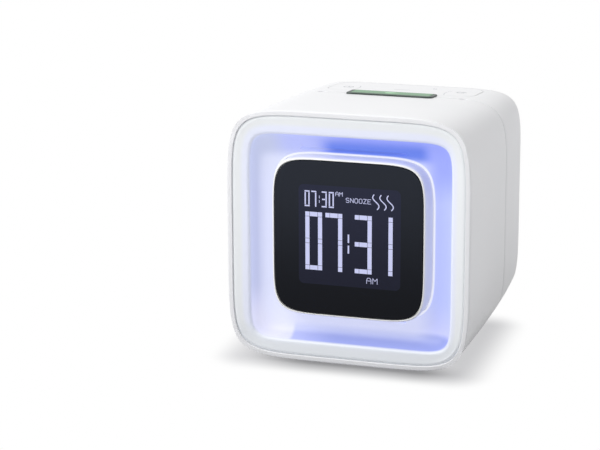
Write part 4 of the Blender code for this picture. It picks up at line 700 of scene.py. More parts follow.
# %% Trees for what repeats
def new_tree(name, sizes=()):
    tree = bpy.data.node_groups.new(name, "GeometryNodeTree")
    face = tree.interface
    face.new_socket("Geometry", in_out="INPUT", socket_type="NodeSocketGeometry")
    for label in sizes:
        face.new_socket(label, in_out="INPUT", socket_type="NodeSocketFloat")
    face.new_socket("Geometry", in_out="OUTPUT", socket_type="NodeSocketGeometry")
    return tree, tree.nodes.new("NodeGroupInput")


def end_tree(tree, geometry, finish):
    real = add(tree, "GeometryNodeRealizeInstances", None, {"Geometry": geometry})
    dressed = add(
        tree, "GeometryNodeSetMaterial", None, {"Geometry": real.outputs[0], "Material": finish}
    )
    add(tree, "NodeGroupOutput", None, {"Geometry": dressed.outputs[0]})


def grow(obj, tree, **sizes):
    """Runs a tree on an object with these sizes and keeps the result as a plain mesh."""
    nodes = obj.modifiers.new("grow", "NODES")
    nodes.node_group = tree
    for item in tree.interface.items_tree:
        if item.in_out == "INPUT" and item.name in sizes:
            nodes[item.identifier] = float(sizes[item.name])
    return baked(obj)


# Every tree has to end with a material. A cutter's is never seen, and settling a piece replaces it.
plain_cutter = bpy.data.materials.new("cutter")
print("trees ready to be grown")

# %% [markdown]
# Slots that let air or sound through are cut in rows. This tree lays copies of one slot side by
# side. Where the row has to fit a round speaker, the slots get shorter away from its middle, by
# the height of a circle. The same tree sets out the slots of the cartridge's grille.

# %% Rows of slots
ENDLESS = 1e6
row_tree, given = new_tree("slot_row", ("Count", "Pitch", "Reach"))
count, pitch, half_row = given.outputs["Count"], given.outputs["Pitch"], given.outputs["Reach"]
width = add(row_tree, "ShaderNodeMath", {"operation": "MULTIPLY"}, {0: count, 1: pitch})
span = add(row_tree, "ShaderNodeMath", {"operation": "SUBTRACT"}, {0: width.outputs[0], 1: pitch})
first_x = add(row_tree, "ShaderNodeMath", {"operation": "MULTIPLY"}, {0: span.outputs[0], 1: -0.5})
start = add(row_tree, "ShaderNodeCombineXYZ", None, {"X": first_x.outputs[0]})
stride = add(row_tree, "ShaderNodeCombineXYZ", None, {"X": pitch})
line = add(
    row_tree,
    "GeometryNodeMeshLine",
    None,
    {"Count": count, "Start Location": start.outputs[0], "Offset": stride.outputs[0]},
)
where = add(row_tree, "GeometryNodeInputPosition")
aside = add(row_tree, "ShaderNodeSeparateXYZ", None, {0: where.outputs[0]})
part = add(row_tree, "ShaderNodeMath", {"operation": "DIVIDE"}, {0: aside.outputs["X"], 1: half_row})
share = part.outputs[0]
squared = add(row_tree, "ShaderNodeMath", {"operation": "MULTIPLY"}, {0: share, 1: share})
rest = add(
    row_tree,
    "ShaderNodeMath",
    {"operation": "SUBTRACT", "use_clamp": True},
    {0: 1.0, 1: squared.outputs[0]},
)
chord = add(row_tree, "ShaderNodeMath", {"operation": "SQRT"}, {0: rest.outputs[0]})
stretch = add(row_tree, "ShaderNodeCombineXYZ", None, {"X": 1.0, "Y": chord.outputs[0], "Z": 1.0})
row = add(
    row_tree,
    "GeometryNodeInstanceOnPoints",
    None,
    {
        "Points": line.outputs["Mesh"],
        "Instance": given.outputs["Geometry"],
        "Scale": stretch.outputs[0],
    },
)
end_tree(row_tree, row.outputs["Instances"], plain_cutter)
print("row tree has", len(row_tree.nodes), "nodes")

# %% [markdown]
# The cartridge stands in a slot that crosses the seam. A ledge inside the slot carries its cap. A
# fine groove along the seam ends in a shallow round pocket on each side. The same cutters serve
# both shells, and the back shell's tongue is notched so that the bay has room.

# %% Cutters on the seam
DECK = surface_height(0, SEAM)
CAP_THICKNESS, CAP_HEIGHT, CAP_CORNER = 11.5, 1.8, 1.7
CAP_TOP = DECK + 0.9
CAP_SEEN_TOP, CAP_SEEN_WIDTH = DECK + 0.6, 38.6
CAP_BOTTOM = CAP_TOP - CAP_HEIGHT
LEDGE, LEDGE_THICK = CAP_BOTTOM - GAP, 4
PASSAGE_WIDTH, PASSAGE_THICKNESS = 38.7, 11.0
BAY_WIDTH, BAY_THICKNESS = 43.0, 13.8
POCKET_X, POCKET_RADIUS, POCKET_DEPTH, GROOVE = 32.0, 1.8, 0.8, 0.9
ABOVE = 60.0


def disc(name, radius, at, length, towards="back", steps=48, lean=0.0):
    return turned(name, [(0, length), (radius, length), (radius, 0), (0, 0)], at, towards, steps, lean)


def box(name, low, high):
    outline = [(high[0], low[1]), (high[0], high[1]), (low[0], high[1]), (low[0], low[1])]
    return plate(name, outline, low[2], high[2], "up")


mouth = rounded(CAP_SEEN_WIDTH + 2 * GAP, CAP_THICKNESS + 2 * GAP, CAP_CORNER + GAP, middle=(0, SEAM))
passage = rounded(PASSAGE_WIDTH, PASSAGE_THICKNESS, CAP_CORNER, middle=(0, SEAM))
groove = rounded(2 * POCKET_X, GROOVE, 0.1, middle=(0, SEAM))
seam_cutters = [
    plate("slot_upper", mouth, LEDGE, ABOVE, "up"),
    plate("slot_lower", passage, LEDGE - LEDGE_THICK, LEDGE + 0.2, "up"),
    plate("groove", groove, DECK - POCKET_DEPTH, ABOVE, "up"),
]
for x in (-POCKET_X, POCKET_X):
    under = surface_height(x, SEAM) - POCKET_DEPTH
    seam_cutters.append(disc("pocket", POCKET_RADIUS, (x, SEAM, under), 10.0, "up"))
notch, low = BAY_WIDTH / 2 + 2 * GAP, DECK - 4 * WALL
roof = surface_height(0, SEAM + 2 * TONGUE) - WALL
notches = [
    box("tongue_notch", (-notch, SEAM - 2 * TONGUE_LENGTH, low), (notch, SEAM + GAP, LEDGE - 0.8)),
    box("root_notch", (-notch, SEAM, low), (notch, SEAM + BAY_THICKNESS / 2, roof)),
]
print("deck is at height", round(DECK, 2), "and the cap's top at", round(CAP_SEEN_TOP, 2))

# %% [markdown]
# The underside has a round field of sound slots under the speaker and a shallow recess for each
# foot. The recesses stand square to the table, not to the leaning shell.

# %% Finish the front shell
SPEAKER_AT, SPEAKER_SLOTS, SLOT_PITCH, SLOT_WIDTH, SPEAKER_REACH = 40.0, 7, 3.8, 1.8, 12.6
FOOT_X, FOOT_RADIUS, FOOT_STAND, FOOT_RECESS = 32.0, 5.5, 1.4, 1.0
FOOT_DEPTHS = (15.0, 96.0)


def floor_height(depth):
    return -BODY_HEIGHT / 2 + depth * math.tan(LEAN) - FOOT_STAND / math.cos(LEAN)


def foot_recesses(depth):
    made = []
    for x in (-FOOT_X, FOOT_X):
        rise = surface_height(x, depth, -1) - floor_height(depth)
        spot = (x, depth, floor_height(depth))
        made.append(disc("recess", FOOT_RADIUS + GAP, spot, rise + FOOT_RECESS, "up", lean=LEAN))
    return made


sound_slots = plate(
    "sound_slots", rounded(SLOT_WIDTH, 2 * SPEAKER_REACH, SLOT_WIDTH / 2 - 0.01), -5.0, 5.0, "up"
)
grow(sound_slots, row_tree, Count=SPEAKER_SLOTS, Pitch=SLOT_PITCH, Reach=SPEAKER_REACH)
sound_slots.data.transform(Matrix.Translation((0, SPEAKER_AT, surface_height(0, SPEAKER_AT, -1))))
carve(front_shell, CUT, *seam_cutters, keep=True)
carve(front_shell, CUT, sound_slots, *foot_recesses(FOOT_DEPTHS[0]))
settle(front_shell, "housing", white_abs, ("housing_sleeve",), sharp=28)

# %% [markdown]
# The back of the clock is the working side: a row of air slots, a pill-shaped panel with four keys,
# the round socket for the power plug, and four deep wells with the screws that hold the shells
# together. A tube round each well reaches forward to the front shell.

# %% Cutters for the back
INTAKE_SLOTS, INTAKE_PITCH, INTAKE_WIDTH, INTAKE_LENGTH, INTAKE_HEIGHT = 11, 4.0, 2.1, 30.0, 9.0
BUTTON_X = {"button_alarm": -19.5, "button_clock": -6.5, "button_minus": 6.5, "button_plus": 19.5}
BUTTON_RADIUS, BUTTON_HEIGHT = 3.4, -16.5
PANEL_WIDTH, PANEL_HEIGHT, PANEL_CORNER, PANEL_RECESS = 53.0, 12.5, 6.2, 0.9
INLET_HEIGHT, INLET_BARREL = -31.2, 3.5
SCREW_X, SCREW_HEIGHTS, SCREW_SEAT, SCREW_PASSAGE = 30.0, (29.0, -33.0), 68.2, 1.7
WELL_RADIUS, TUBE_RADIUS = 3.3, 4.5
BACK_INNER = BODY_DEPTH - WALL

intake = plate("intake", rounded(INTAKE_WIDTH, INTAKE_LENGTH, INTAKE_WIDTH / 2 - 0.01), -5.0, 5.0)
grow(intake, row_tree, Count=INTAKE_SLOTS, Pitch=INTAKE_PITCH, Reach=ENDLESS)
intake.data.transform(Matrix.Translation((0, BODY_DEPTH, INTAKE_HEIGHT)))
pill = rounded(PANEL_WIDTH, PANEL_HEIGHT, PANEL_CORNER, steps=16, middle=(0, BUTTON_HEIGHT))
panel = plate("panel", pill, BODY_DEPTH - PANEL_RECESS, BODY_DEPTH + 2)
hole_spots = [(x, BUTTON_HEIGHT, BUTTON_RADIUS) for x in BUTTON_X.values()]
hole_spots.append((0, INLET_HEIGHT, INLET_BARREL))
holes = [disc("hole", radius + GAP, (x, BACK_INNER - 2, height), 8.0) for x, height, radius in hole_spots]
screw_spots = [(x, height) for height in SCREW_HEIGHTS for x in (-SCREW_X, SCREW_X)]
tube_from = SEAM - TONGUE_LENGTH
tubes = [
    disc("tube", TUBE_RADIUS, (x, tube_from, height), BACK_INNER + 1 - SEAM + TONGUE_LENGTH)
    for x, height in screw_spots
]
wells = [disc("well", WELL_RADIUS, (x, SCREW_SEAT, height), 60.0) for x, height in screw_spots]
wells += [disc("through", SCREW_PASSAGE, (x, SEAM - 5, height), 8.0) for x, height in screw_spots]
print("holes for keys and plug:", len(holes), "and screw wells:", len(screw_spots))

# %% [markdown]
# The touch panel follows the crown of the top, so both the panel and its pocket are cut from a skin
# of the body itself: two insets of the same surface, trimmed to a rectangle with round corners.

# %% Finish the back shell
TOUCH_WIDTH, TOUCH_FRONT, TOUCH_REAR, TOUCH_CORNER, TOUCH_THICK = 67.2, 76.2, 105.2, 8.0, 1.4


def top_skin(name, outer, inner, growth):
    """The body's skin between two insets, trimmed to the touch panel's outline."""
    start, end = TOUCH_FRONT - 3, TOUCH_REAR + 2
    depths = [start + (end - start) * k / 6 for k in range(7)]
    rings = [body_ring(depth, outer) for depth in depths]
    rings += [body_ring(depth, inner) for depth in reversed(depths)]
    outline = rounded(
        TOUCH_WIDTH + 2 * growth,
        TOUCH_REAR - TOUCH_FRONT + 2 * growth,
        TOUCH_CORNER + growth,
        steps=16,
        middle=(0, (TOUCH_FRONT + TOUCH_REAR) / 2),
    )
    return carve(skin(name, rings, closed=True), TRIM, plate("trim", outline, 10.0, ABOVE, "up"))


carve(back_shell, FUSE, *tubes)
touch_pocket = top_skin("touch_pocket", -WALL, TOUCH_THICK + GAP, GAP)
carve(back_shell, CUT, *notches, *seam_cutters, touch_pocket)
carve(back_shell, CUT, intake, panel, *holes, *wells, *foot_recesses(FOOT_DEPTHS[1]))
settle(back_shell, "housing", white_abs, ("rear_cover",), sharp=28)

# %% [markdown]
# The ring round the display is one moulding of milky polycarbonate: a plain border just inside the
# rim, then a trough that sweeps down to the display. Lamps behind it make the trough glow, and the
# border only carries a little of that light. The shape is one closed skin of rings: the sweep is a
# quarter of a squashed circle, and the squareness eases from the border's to the display's.

# %% Sizes of the light ring and the display
FRAME_WIDTH, FRAME_HEIGHT, FRAME_WALL = LIP_WIDTH - GAP, LIP_HEIGHT - GAP, 1.8
TROUGH_WIDTH, TROUGH_HEIGHT, TROUGH_SQUARENESS, TROUGH_DEPTH = 43.3, 44.1, 12.0, 10.2
TROUGH_DROP, TROUGH_ASIDE, TROUGH_ROUND = 1.0, 0.6, 1.6
SETBACK, BORDER_FALL, BORDER_ROUND = 0.45, 0.55, 0.38
RIM_GAP, RIM_GROOVE, GROOVE_EDGE = 0.04, 0.95, 0.88
LENS_WIDTH, LENS_HEIGHT, LENS_SQUARENESS = 32.07, 32.82, 6.46
LENS_FACE, LENS_THICKNESS, POD_LIP = 2.0, 1.3, 0.8
POD_FLARE_WIDE, POD_FLARE_HIGH, POD_SQUARENESS = 1.3, 0.1, 5.6
POD_WIDTH = LENS_WIDTH + GAP + POD_LIP + POD_FLARE_WIDE
POD_HEIGHT = LENS_HEIGHT + GAP + POD_LIP + POD_FLARE_HIGH
POD_BACK = TROUGH_DEPTH + FRAME_WALL
BEAD, BEAD_GAP = 1.6 * GAP, 0.1
OUTLET_SPAN, OUTLET_HEIGHT, OUTLET_MIDDLE = 46.0, 1.2, 35.92
print("the display's base is", round(2 * POD_WIDTH, 1), "by", round(2 * POD_HEIGHT, 1), "mm")

# %% [markdown]
# The border starts at a fine groove along the rim, rounds over its own outer edge and falls a little
# towards the trough. On the way the rings take on the squarer outline of the trough.

# %% Border of the light ring
def border_rings():
    rings = [
        ring(LIP_DEPTH, LIP_WIDTH - RIM_GAP, LIP_HEIGHT - RIM_GAP, LIP_SQUARENESS),
        ring(RIM_GROOVE, LIP_WIDTH - RIM_GAP, LIP_HEIGHT - RIM_GAP, LIP_SQUARENESS),
        ring(GROOVE_EDGE, FRAME_WIDTH, FRAME_HEIGHT, LIP_SQUARENESS),
    ]
    for step in range(7):
        angle = math.pi / 2 * step / 6
        inset = 2 * SETBACK * (1 - math.cos(angle))
        depth = SETBACK + BORDER_ROUND * (1 - math.sin(angle))
        rings.append(ring(depth, FRAME_WIDTH - inset, FRAME_HEIGHT - inset, LIP_SQUARENESS))
    start_wide, start_high = FRAME_WIDTH - 2 * SETBACK, FRAME_HEIGHT - 2 * SETBACK
    for k in range(1, 8):
        s = k / 7
        rings.append(ring(
            SETBACK + BORDER_FALL * s,
            start_wide + (TROUGH_WIDTH + TROUGH_ROUND - FRAME_WIDTH + 2 * SETBACK) * s,
            start_high + (TROUGH_HEIGHT + TROUGH_ROUND - FRAME_HEIGHT + 2 * SETBACK) * s,
            LIP_SQUARENESS + (TROUGH_SQUARENESS - LIP_SQUARENESS) * s,
            -TROUGH_DROP * s,
            TROUGH_ASIDE * s,
        ))
    return rings


print("rings of the border:", len(border_rings()))

# %% [markdown]
# The rings then go round the inner edge and down the sweep. At the foot of the sweep a fine bead
# stands round the display, and the wall goes back up behind.

# %% Light ring
def sweep(depth_from, depth_to, share, grow_by=0.0):
    """A ring part of the way down the trough, from its edge (0) to its floor (1)."""
    angle = math.pi / 2 * share
    across, down = 1 - math.cos(angle), math.sin(angle)
    end_width, end_height = POD_WIDTH + GAP + 0.6, POD_HEIGHT + GAP + 0.6
    return ring(
        depth_from + (depth_to - depth_from) * down,
        TROUGH_WIDTH + grow_by - (TROUGH_WIDTH - end_width) * across ** 1.25,
        TROUGH_HEIGHT + grow_by - (TROUGH_HEIGHT - end_height) * across ** 1.25,
        TROUGH_SQUARENESS - (TROUGH_SQUARENESS - POD_SQUARENESS) * across ** 0.7,
        TROUGH_DROP * (across - 1),
        TROUGH_ASIDE * (1 - across),
    )


def light_rings():
    edge = SETBACK + BORDER_FALL
    rings = border_rings()
    for step in range(1, 8):
        angle = math.pi / 2 * step / 8
        out = TROUGH_ROUND * (1 - math.sin(angle))
        depth = edge + TROUGH_ROUND * (1 - math.cos(angle))
        wide, high = TROUGH_WIDTH + out, TROUGH_HEIGHT + out
        rings.append(ring(depth, wide, high, TROUGH_SQUARENESS, -TROUGH_DROP, TROUGH_ASIDE))
    rings += [sweep(edge + TROUGH_ROUND, TROUGH_DEPTH, k / 24) for k in range(25)]
    wide, high = POD_WIDTH + BEAD_GAP, POD_HEIGHT + BEAD_GAP
    bead = ((0.7 * BEAD, 0.5), (BEAD, 0.35), (BEAD, 0.0))
    rings += [ring(TROUGH_DEPTH - rise, wide + out, high + out, POD_SQUARENESS) for rise, out in bead]
    rings.append(ring(POD_BACK, wide, high, POD_SQUARENESS))
    rings += [sweep(LIP_DEPTH, POD_BACK, k / 8, FRAME_WALL) for k in range(8, -1, -1)]
    return rings


light_ring = skin("light_ring", light_rings(), closed=True)
outlets = []
for height in (OUTLET_MIDDLE, -OUTLET_MIDDLE):
    outline = rounded(OUTLET_SPAN, OUTLET_HEIGHT, OUTLET_HEIGHT / 2 - 0.01, middle=(0, height))
    outlets.append(plate("outlet", outline, 5.0, 20.0))
carve(light_ring, CUT, *outlets)
print("light ring:", len(light_ring.data.polygons), "faces")

# %% [markdown]
# Milky polycarbonate scatters light inside itself, so a lit ring shows soft fields of colour that
# follow the lamps and not the shape. Here these fields are painted light and shade in the glow: it
# is periwinkle, a deeper and darker blue over a patch at the top and along part of the bottom, as
# painted shade, and paler low down on the left and next to the display, as painted light. A thin
# painted highlight runs round the bead at the display's foot. The fields are given in the clock's
# millimetres and painted one over another, from the first line of the table to the last.

# %% Colours of the trough
opal, tree, shader, spot = new_material("opal_polycarbonate_lit", "#DDE0F0", 0.42, ior=1.58)
parts = add(tree, "ShaderNodeSeparateXYZ", None, {0: spot})
across, back_by, high = parts.outputs["X"], parts.outputs["Y"], parts.outputs["Z"]
# Painted light and shade of the glow: the deep blue patches are painted shade, the paler ones painted
# light.
FIELDS = [
    ("#BEC8FF", (across, 4, 36)),
    ("#BBC3FA", (high, 28, 38), (across, 10, -20)),
    ("#C4CBE9", (across, -26, -38), (high, 10, 36)),
    ("#C9CDFA", (high, -24, -44)),
    ("#E0E1F8", (across, -16, -34), (high, -20, -40)),
    ("#B0B8EE", (high, -38.6, -41.5), (across, -26.6, -24.6)),
    ("#98A3E2", (high, -38.6, -41.5), (across, -25, -4)),
    ("#9CA8FA", (high, 31, 37), (across, -24, 0)),
    ("#A0ACFC", (high, 14, 30), (across, 26, 34)),
    ("#6884EA", (high, 42.5, 37.0), (high, 31.5, 34.5), (across, -17, -8), (across, 34.8, 28.0)),
]
colour = painted(tree, "#C2C8EA", *((soft_field(tree, *steps), tone) for tone, *steps in FIELDS))


def beyond_oval(sizes, squareness, start, end):
    """A soft field on |x/a|^n + |h/b|^n, a sum that is 1 on the curve itself."""
    total = 0.0
    for value, size in zip((across, high), sizes):
        share = add(tree, "ShaderNodeMath", {"operation": "DIVIDE"}, {0: value, 1: size})
        plus = add(tree, "ShaderNodeMath", {"operation": "ABSOLUTE"}, {0: share.outputs[0]})
        power = add(tree, "ShaderNodeMath", {"operation": "POWER"}, {0: plus.outputs[0], 1: squareness})
        both = add(tree, "ShaderNodeMath", {"operation": "ADD"}, {0: power.outputs[0], 1: total})
        total = both.outputs[0]
    return soft_field(tree, (total, start, end))


# Painted light next to the display, and a thin painted highlight along the bead.
near_pod = add(
    tree, "ShaderNodeMath", {"operation": "POWER"}, {0: soft_field(tree, (back_by, 6.5, 10.4)), 1: 1.5}
)
off_ends = soft_field(tree, (high, 36, 30), (across, 38, 26), most=0.75)
lighter = add(tree, "ShaderNodeMath", {"operation": "MULTIPLY"}, {0: near_pod.outputs[0], 1: off_ends})
bead_size = POD_WIDTH + GAP + 0.45, POD_HEIGHT + GAP + 0.45
painted_bead_highlight = beyond_oval(bead_size, POD_SQUARENESS, 1.03, 0.98)
colour = painted(tree, colour, (lighter.outputs[0], "#E4E8FF"), (painted_bead_highlight, "#F4F6FF"))
print("fields of colour in the trough:", len(FIELDS))

# %% [markdown]
# Part of each colour is the plastic's own and part is emission, so that the ring keeps its shading.
# The border is the same plastic in its own near white, and only the light that spills out of the
# trough makes it glow a very little. Low down, the border is painted a little darker, as shade.

# %% Border, and the strength of the glow
BORDER_GLOW, TROUGH_GLOW, TROUGH_OWN = 0.035, 0.64, 0.42
TROUGH_OVAL, SPILL_OVAL, SPILL_SQUARENESS = (46.4, 47.6), (46.6, 47.6), 9.0
outer = beyond_oval(TROUGH_OVAL, LIP_SQUARENESS, 0.85, 1.15)
front = soft_field(tree, (back_by, 2.9, 1.3))
border = add(tree, "ShaderNodeMath", {"operation": "MAXIMUM"}, {0: front, 1: outer}).outputs[0]
spill = beyond_oval(SPILL_OVAL, SPILL_SQUARENESS, 1.15, 0.62)
# Painted shade: the lower border is a little darker.
shaded_low_border = soft_field(tree, (high, -36, -45), most=0.8)
border_tone = painted(tree, "#F0F3F5", (spill, "#EAEEFF"), (shaded_low_border, "#E2E6EB"))
surface_colour = painted(tree, colour, (border, border_tone))
in_trough = add(tree, "ShaderNodeMath", {"operation": "SUBTRACT"}, {0: 1.0, 1: border}).outputs[0]
faint = add(tree, "ShaderNodeMapRange", None, {"Value": spill, "To Min": 0.0, "To Max": BORDER_GLOW})
glow = add(
    tree,
    "ShaderNodeMapRange",
    None,
    {"Value": in_trough, "To Min": faint.outputs["Result"], "To Max": TROUGH_GLOW},
)
own_share = add(
    tree, "ShaderNodeMapRange", None, {"Value": in_trough, "To Min": 1.0, "To Max": TROUGH_OWN}
)
own = add(
    tree,
    "ShaderNodeVectorMath",
    {"operation": "SCALE"},
    {0: surface_colour, "Scale": own_share.outputs["Result"]},
)
tree.links.new(own.outputs[0], shader.inputs["Base Color"])
tree.links.new(surface_colour, shader.inputs["Emission Color"])
tree.links.new(glow.outputs["Result"], shader.inputs["Emission Strength"])
settle(light_ring, "housing", opal, ("light_frame",), sharp=40)

# %% [markdown]
# The display stands on a satin collar with a rolled lip. The lip catches the light as a thin white
# line, and the side below it is near white and lit by the trough; towards its foot the side is
# painted a touch darker, as shade. The window lies just inside the lip. The collar is moulded ABS,
# and a fine grain of the tool keeps its side from looking polished.

# %% Display collar
LEDGE_WIDE, BACK_STEP, LIP_PROUD, LIP_FALL, FLARE_BOW = 1.5, 1.4, 0.6, 1.2, 0.8
CABLE_EXIT = (5.3, -26.8, -24.2)


def pod_rings():
    w, h, n = LENS_WIDTH + GAP, LENS_HEIGHT + GAP, LENS_SQUARENESS
    ledge = LENS_FACE + LENS_THICKNESS + GAP
    rings = [
        ring(POD_BACK - BACK_STEP, w - LEDGE_WIDE, h - LEDGE_WIDE, n),
        ring(ledge, w - LEDGE_WIDE, h - LEDGE_WIDE, n),
        ring(ledge, w, h, n),
        ring(LENS_FACE + GAP, w, h, n),
    ]
    steps = 14
    for step in range(steps + 1):
        angle = math.pi * step / steps
        out = POD_LIP * (1 - math.cos(angle)) / 2
        depth = LENS_FACE - LIP_PROUD * POD_LIP * math.sin(angle) + LIP_FALL * POD_LIP * step / steps
        rings.append(ring(depth, w + out, h + out, n))
    side = LENS_FACE + LIP_FALL * POD_LIP
    for k in range(1, 11):
        share = (k / 10) ** FLARE_BOW
        rings.append(ring(
            side + (TROUGH_DEPTH - side) * k / 10,
            w + POD_LIP + POD_FLARE_WIDE * share,
            h + POD_LIP + POD_FLARE_HIGH * share,
            n + (POD_SQUARENESS - n) * share,
        ))
    rings.append(ring(POD_BACK, POD_WIDTH, POD_HEIGHT, POD_SQUARENESS))
    return rings


collar = skin("display_collar", pod_rings(), capped=True)
half, low, top = CABLE_EXIT
carve(collar, CUT, box("cable_exit", (-half, POD_BACK - 3, low), (half, POD_BACK + 2, top)))
satin, tree, shader, spot = new_material("satin_collar_abs", "#E9EBF4", 0.33, ior=1.53)
parts = add(tree, "ShaderNodeSeparateXYZ", None, {0: spot})
# Painted shade: the side darkens a touch towards its foot.
shaded_low_side = soft_field(tree, (parts.outputs["Y"], 2.6, 5.5))
grain = add(tree, "ShaderNodeTexNoise", None, {"Vector": spot, "Scale": 1.6, "Detail": 2.0})
specks = add(tree, "ShaderNodeMath", {"operation": "MULTIPLY"}, {0: grain.outputs["Fac"], 1: 0.05})
side_tone = painted(tree, "#F4F4F2", (shaded_low_side, "#EEEEEC"), (specks.outputs[0], "#C4C8DC"))
tree.links.new(side_tone, shader.inputs["Base Color"])
fine = add(
    tree, "ShaderNodeBump", None, {"Height": grain.outputs["Fac"], "Strength": 0.2, "Distance": 2e-5}
)
tree.links.new(fine.outputs["Normal"], shader.inputs["Normal"])
settle(collar, "housing", satin, ("display_pod",), sharp=40)

# %% [markdown]
# The window is a sheet of glossy black acrylic. The liquid crystal behind it shows as a faint
# lighter rectangle, which is drawn in the colour. The border round the digits is plain, with the
# same polish everywhere. Both grow a little lighter towards the top, a painted reflection. Acrylic
# reflects about four parts in a hundred of the light; a little less is used here, because the wide
# white studio would grey the black more than a room does.

# %% Display window
LCD_LEFT, LCD_RIGHT, LCD_LOW, LCD_HIGH = -21.4, 22.6, -20.0, 22.6
LCD_CORNER, LCD_BLUR = 2.2, 0.12
window = skin(
    "display_window_glass",
    [
        ring(LENS_FACE, LENS_WIDTH - 0.3, LENS_HEIGHT - 0.3, LENS_SQUARENESS),
        ring(LENS_FACE + 0.05, LENS_WIDTH - 0.1, LENS_HEIGHT - 0.1, LENS_SQUARENESS),
        ring(LENS_FACE + 0.3, LENS_WIDTH, LENS_HEIGHT, LENS_SQUARENESS),
        ring(LENS_FACE + LENS_THICKNESS, LENS_WIDTH, LENS_HEIGHT, LENS_SQUARENESS),
    ],
    capped=True,
)
black, tree, shader, spot = new_material("gloss_black_acrylic", "#171921", 0.07, ior=1.49)
shader.inputs["Specular IOR Level"].default_value = 0.12
parts = add(tree, "ShaderNodeSeparateXYZ", None, {0: spot})
beside = outside(tree, parts.outputs["X"], LCD_LEFT, LCD_RIGHT, LCD_CORNER)
above = outside(tree, parts.outputs["Z"], LCD_LOW, LCD_HIGH, LCD_CORNER)
beyond = add(tree, "ShaderNodeCombineXYZ", None, {"X": beside, "Y": above})
from_corner = add(tree, "ShaderNodeVectorMath", {"operation": "LENGTH"}, {0: beyond.outputs[0]})
in_lcd = soft_field(tree, (from_corner.outputs["Value"], LCD_CORNER + LCD_BLUR, LCD_CORNER - LCD_BLUR))
# Painted reflection: both tones of the glass lighten towards its top.
rise = soft_field(tree, (parts.outputs["Z"], -32, 32))
plain_tone = painted(tree, "#060912", (rise, "#232730"))
lcd_tone = painted(tree, "#191B2C", (rise, "#272A3D"))
tree.links.new(painted(tree, plain_tone, (in_lcd, lcd_tone)), shader.inputs["Base Color"])
settle(window, "housing", black, ("display_window",), sharp=40)

# %% [markdown]
# The digits are liquid-crystal cells: every stroke is a row of separate blocks with hairline gaps.
# One tree turns a cloud of points into blocks. Each point carries its block's size, so the big
# digits, the colon and the small figures all come from the same tree. The cells stand four
# hundredths of a millimetre in front of the glass, as a lit layer that the eye reads as print.

# %% Tree for the cells
CELL_PROUD, HAIR = 0.04, 0.16
cell_glow = satin_plastic("lit_crystal_cells", "#A0A3C1", "#9DA0BE", 0.35, 1.2, 0.0)
glow_shader = cell_glow.node_tree.nodes["Principled BSDF"]
glow_shader.inputs["Emission Color"].default_value = linear("#C9CDF2")
glow_shader.inputs["Emission Strength"].default_value = 0.44

cell_tree, given = new_tree("crystal_cells", ("Shrink",))
sized = add(
    cell_tree, "GeometryNodeInputNamedAttribute", {"data_type": "FLOAT_VECTOR"}, {"Name": "size"}
)
block = add(cell_tree, "GeometryNodeMeshCube", None, {"Size": (1.0, 1.0, 1.0)})
shrunk = add(
    cell_tree,
    "ShaderNodeVectorMath",
    {"operation": "SUBTRACT"},
    {0: sized.outputs["Attribute"], 1: given.outputs["Shrink"]},
)
cells = add(
    cell_tree,
    "GeometryNodeInstanceOnPoints",
    None,
    {
        "Points": given.outputs["Geometry"],
        "Instance": block.outputs["Mesh"],
        "Scale": shrunk.outputs[0],
    },
)
end_tree(cell_tree, cells.outputs["Instances"], cell_glow)
print("cell tree has", len(cell_tree.nodes), "nodes")

# %% [markdown]
# A big digit is a grid of three columns and five rows, and a pattern of ones tells which blocks are
# lit. Each block is noted as a middle and a size.

# %% Big digits
BIG_COLUMNS = (1.95, 3.55, 1.95)
BIG_ROWS = (2.05, 9.45, 2.05, 9.45, 2.05)
BIG_TOP = 11.1
BIG_DIGITS = (
    (-18.55, ("111", "101", "101", "101", "111")),
    (-9.8, ("111", "001", "001", "001", "001")),
    (2.9, ("111", "001", "111", "001", "111")),
    (11.85, ("001", "001", "001", "001", "001")),
)
BIG_COLON = (-0.15, 0.65, ((-1.2, 2.54), (-5.77, -2.2)))


def cell(x_from, x_to, low, high):
    """A block's middle and its size."""
    middle = ((x_from + x_to) / 2, LENS_FACE, (low + high) / 2)
    return middle, (x_to - x_from, 2 * CELL_PROUD, high - low)


def big_digit(left, pattern):
    made, top = [], BIG_TOP
    for height, row in zip(BIG_ROWS, pattern):
        x = left
        for width, lit in zip(BIG_COLUMNS, row):
            if lit == "1":
                made.append(cell(x, x + width, top - height, top))
            x += width
        top -= height
    return made


def colon(x_from, x_to, dots):
    return [cell(x_from, x_to, low, high) for low, high in dots]


cells_made = [block for left, pattern in BIG_DIGITS for block in big_digit(left, pattern)]
cells_made += colon(*BIG_COLON)
print("blocks in the big digits:", len(cells_made))

# %% [markdown]
# A small digit is made of bars: top, middle, bottom, left and right. All the blocks, big and small,
# then go into one cloud of points, and the tree grows them together.

# %% Small digits
SMALL_TOP, SMALL_LOW, SMALL_WIDTH, SMALL_STROKE = 20.12, 13.2, 2.35, 0.72
SMALL_DIGITS = ((-18.83, "0"), (-15.92, "7"), (-11.4, "3"), (-8.34, "0"))
SMALL_COLON = (-12.55, -12.15, ((14.95, 16.3), (16.9, 18.25)))
BARS = {"0": "tbrl", "7": "tr", "3": "tmbr"}


def small_digit(left, strokes):
    right, top, low, w = left + SMALL_WIDTH, SMALL_TOP, SMALL_LOW, SMALL_STROKE
    middle = (top + low) / 2
    bars = {
        "t": (left, right, top - w, top),
        "m": (left + 0.2, right - w, middle - w / 2, middle + w / 2),
        "b": (left, right, low, low + w),
        "l": (left, left + w, low + w, top - w),
        "r": (right - w, right, low + (w if "b" in strokes else 0), top - w),
    }
    return [cell(*bars[stroke]) for stroke in strokes]


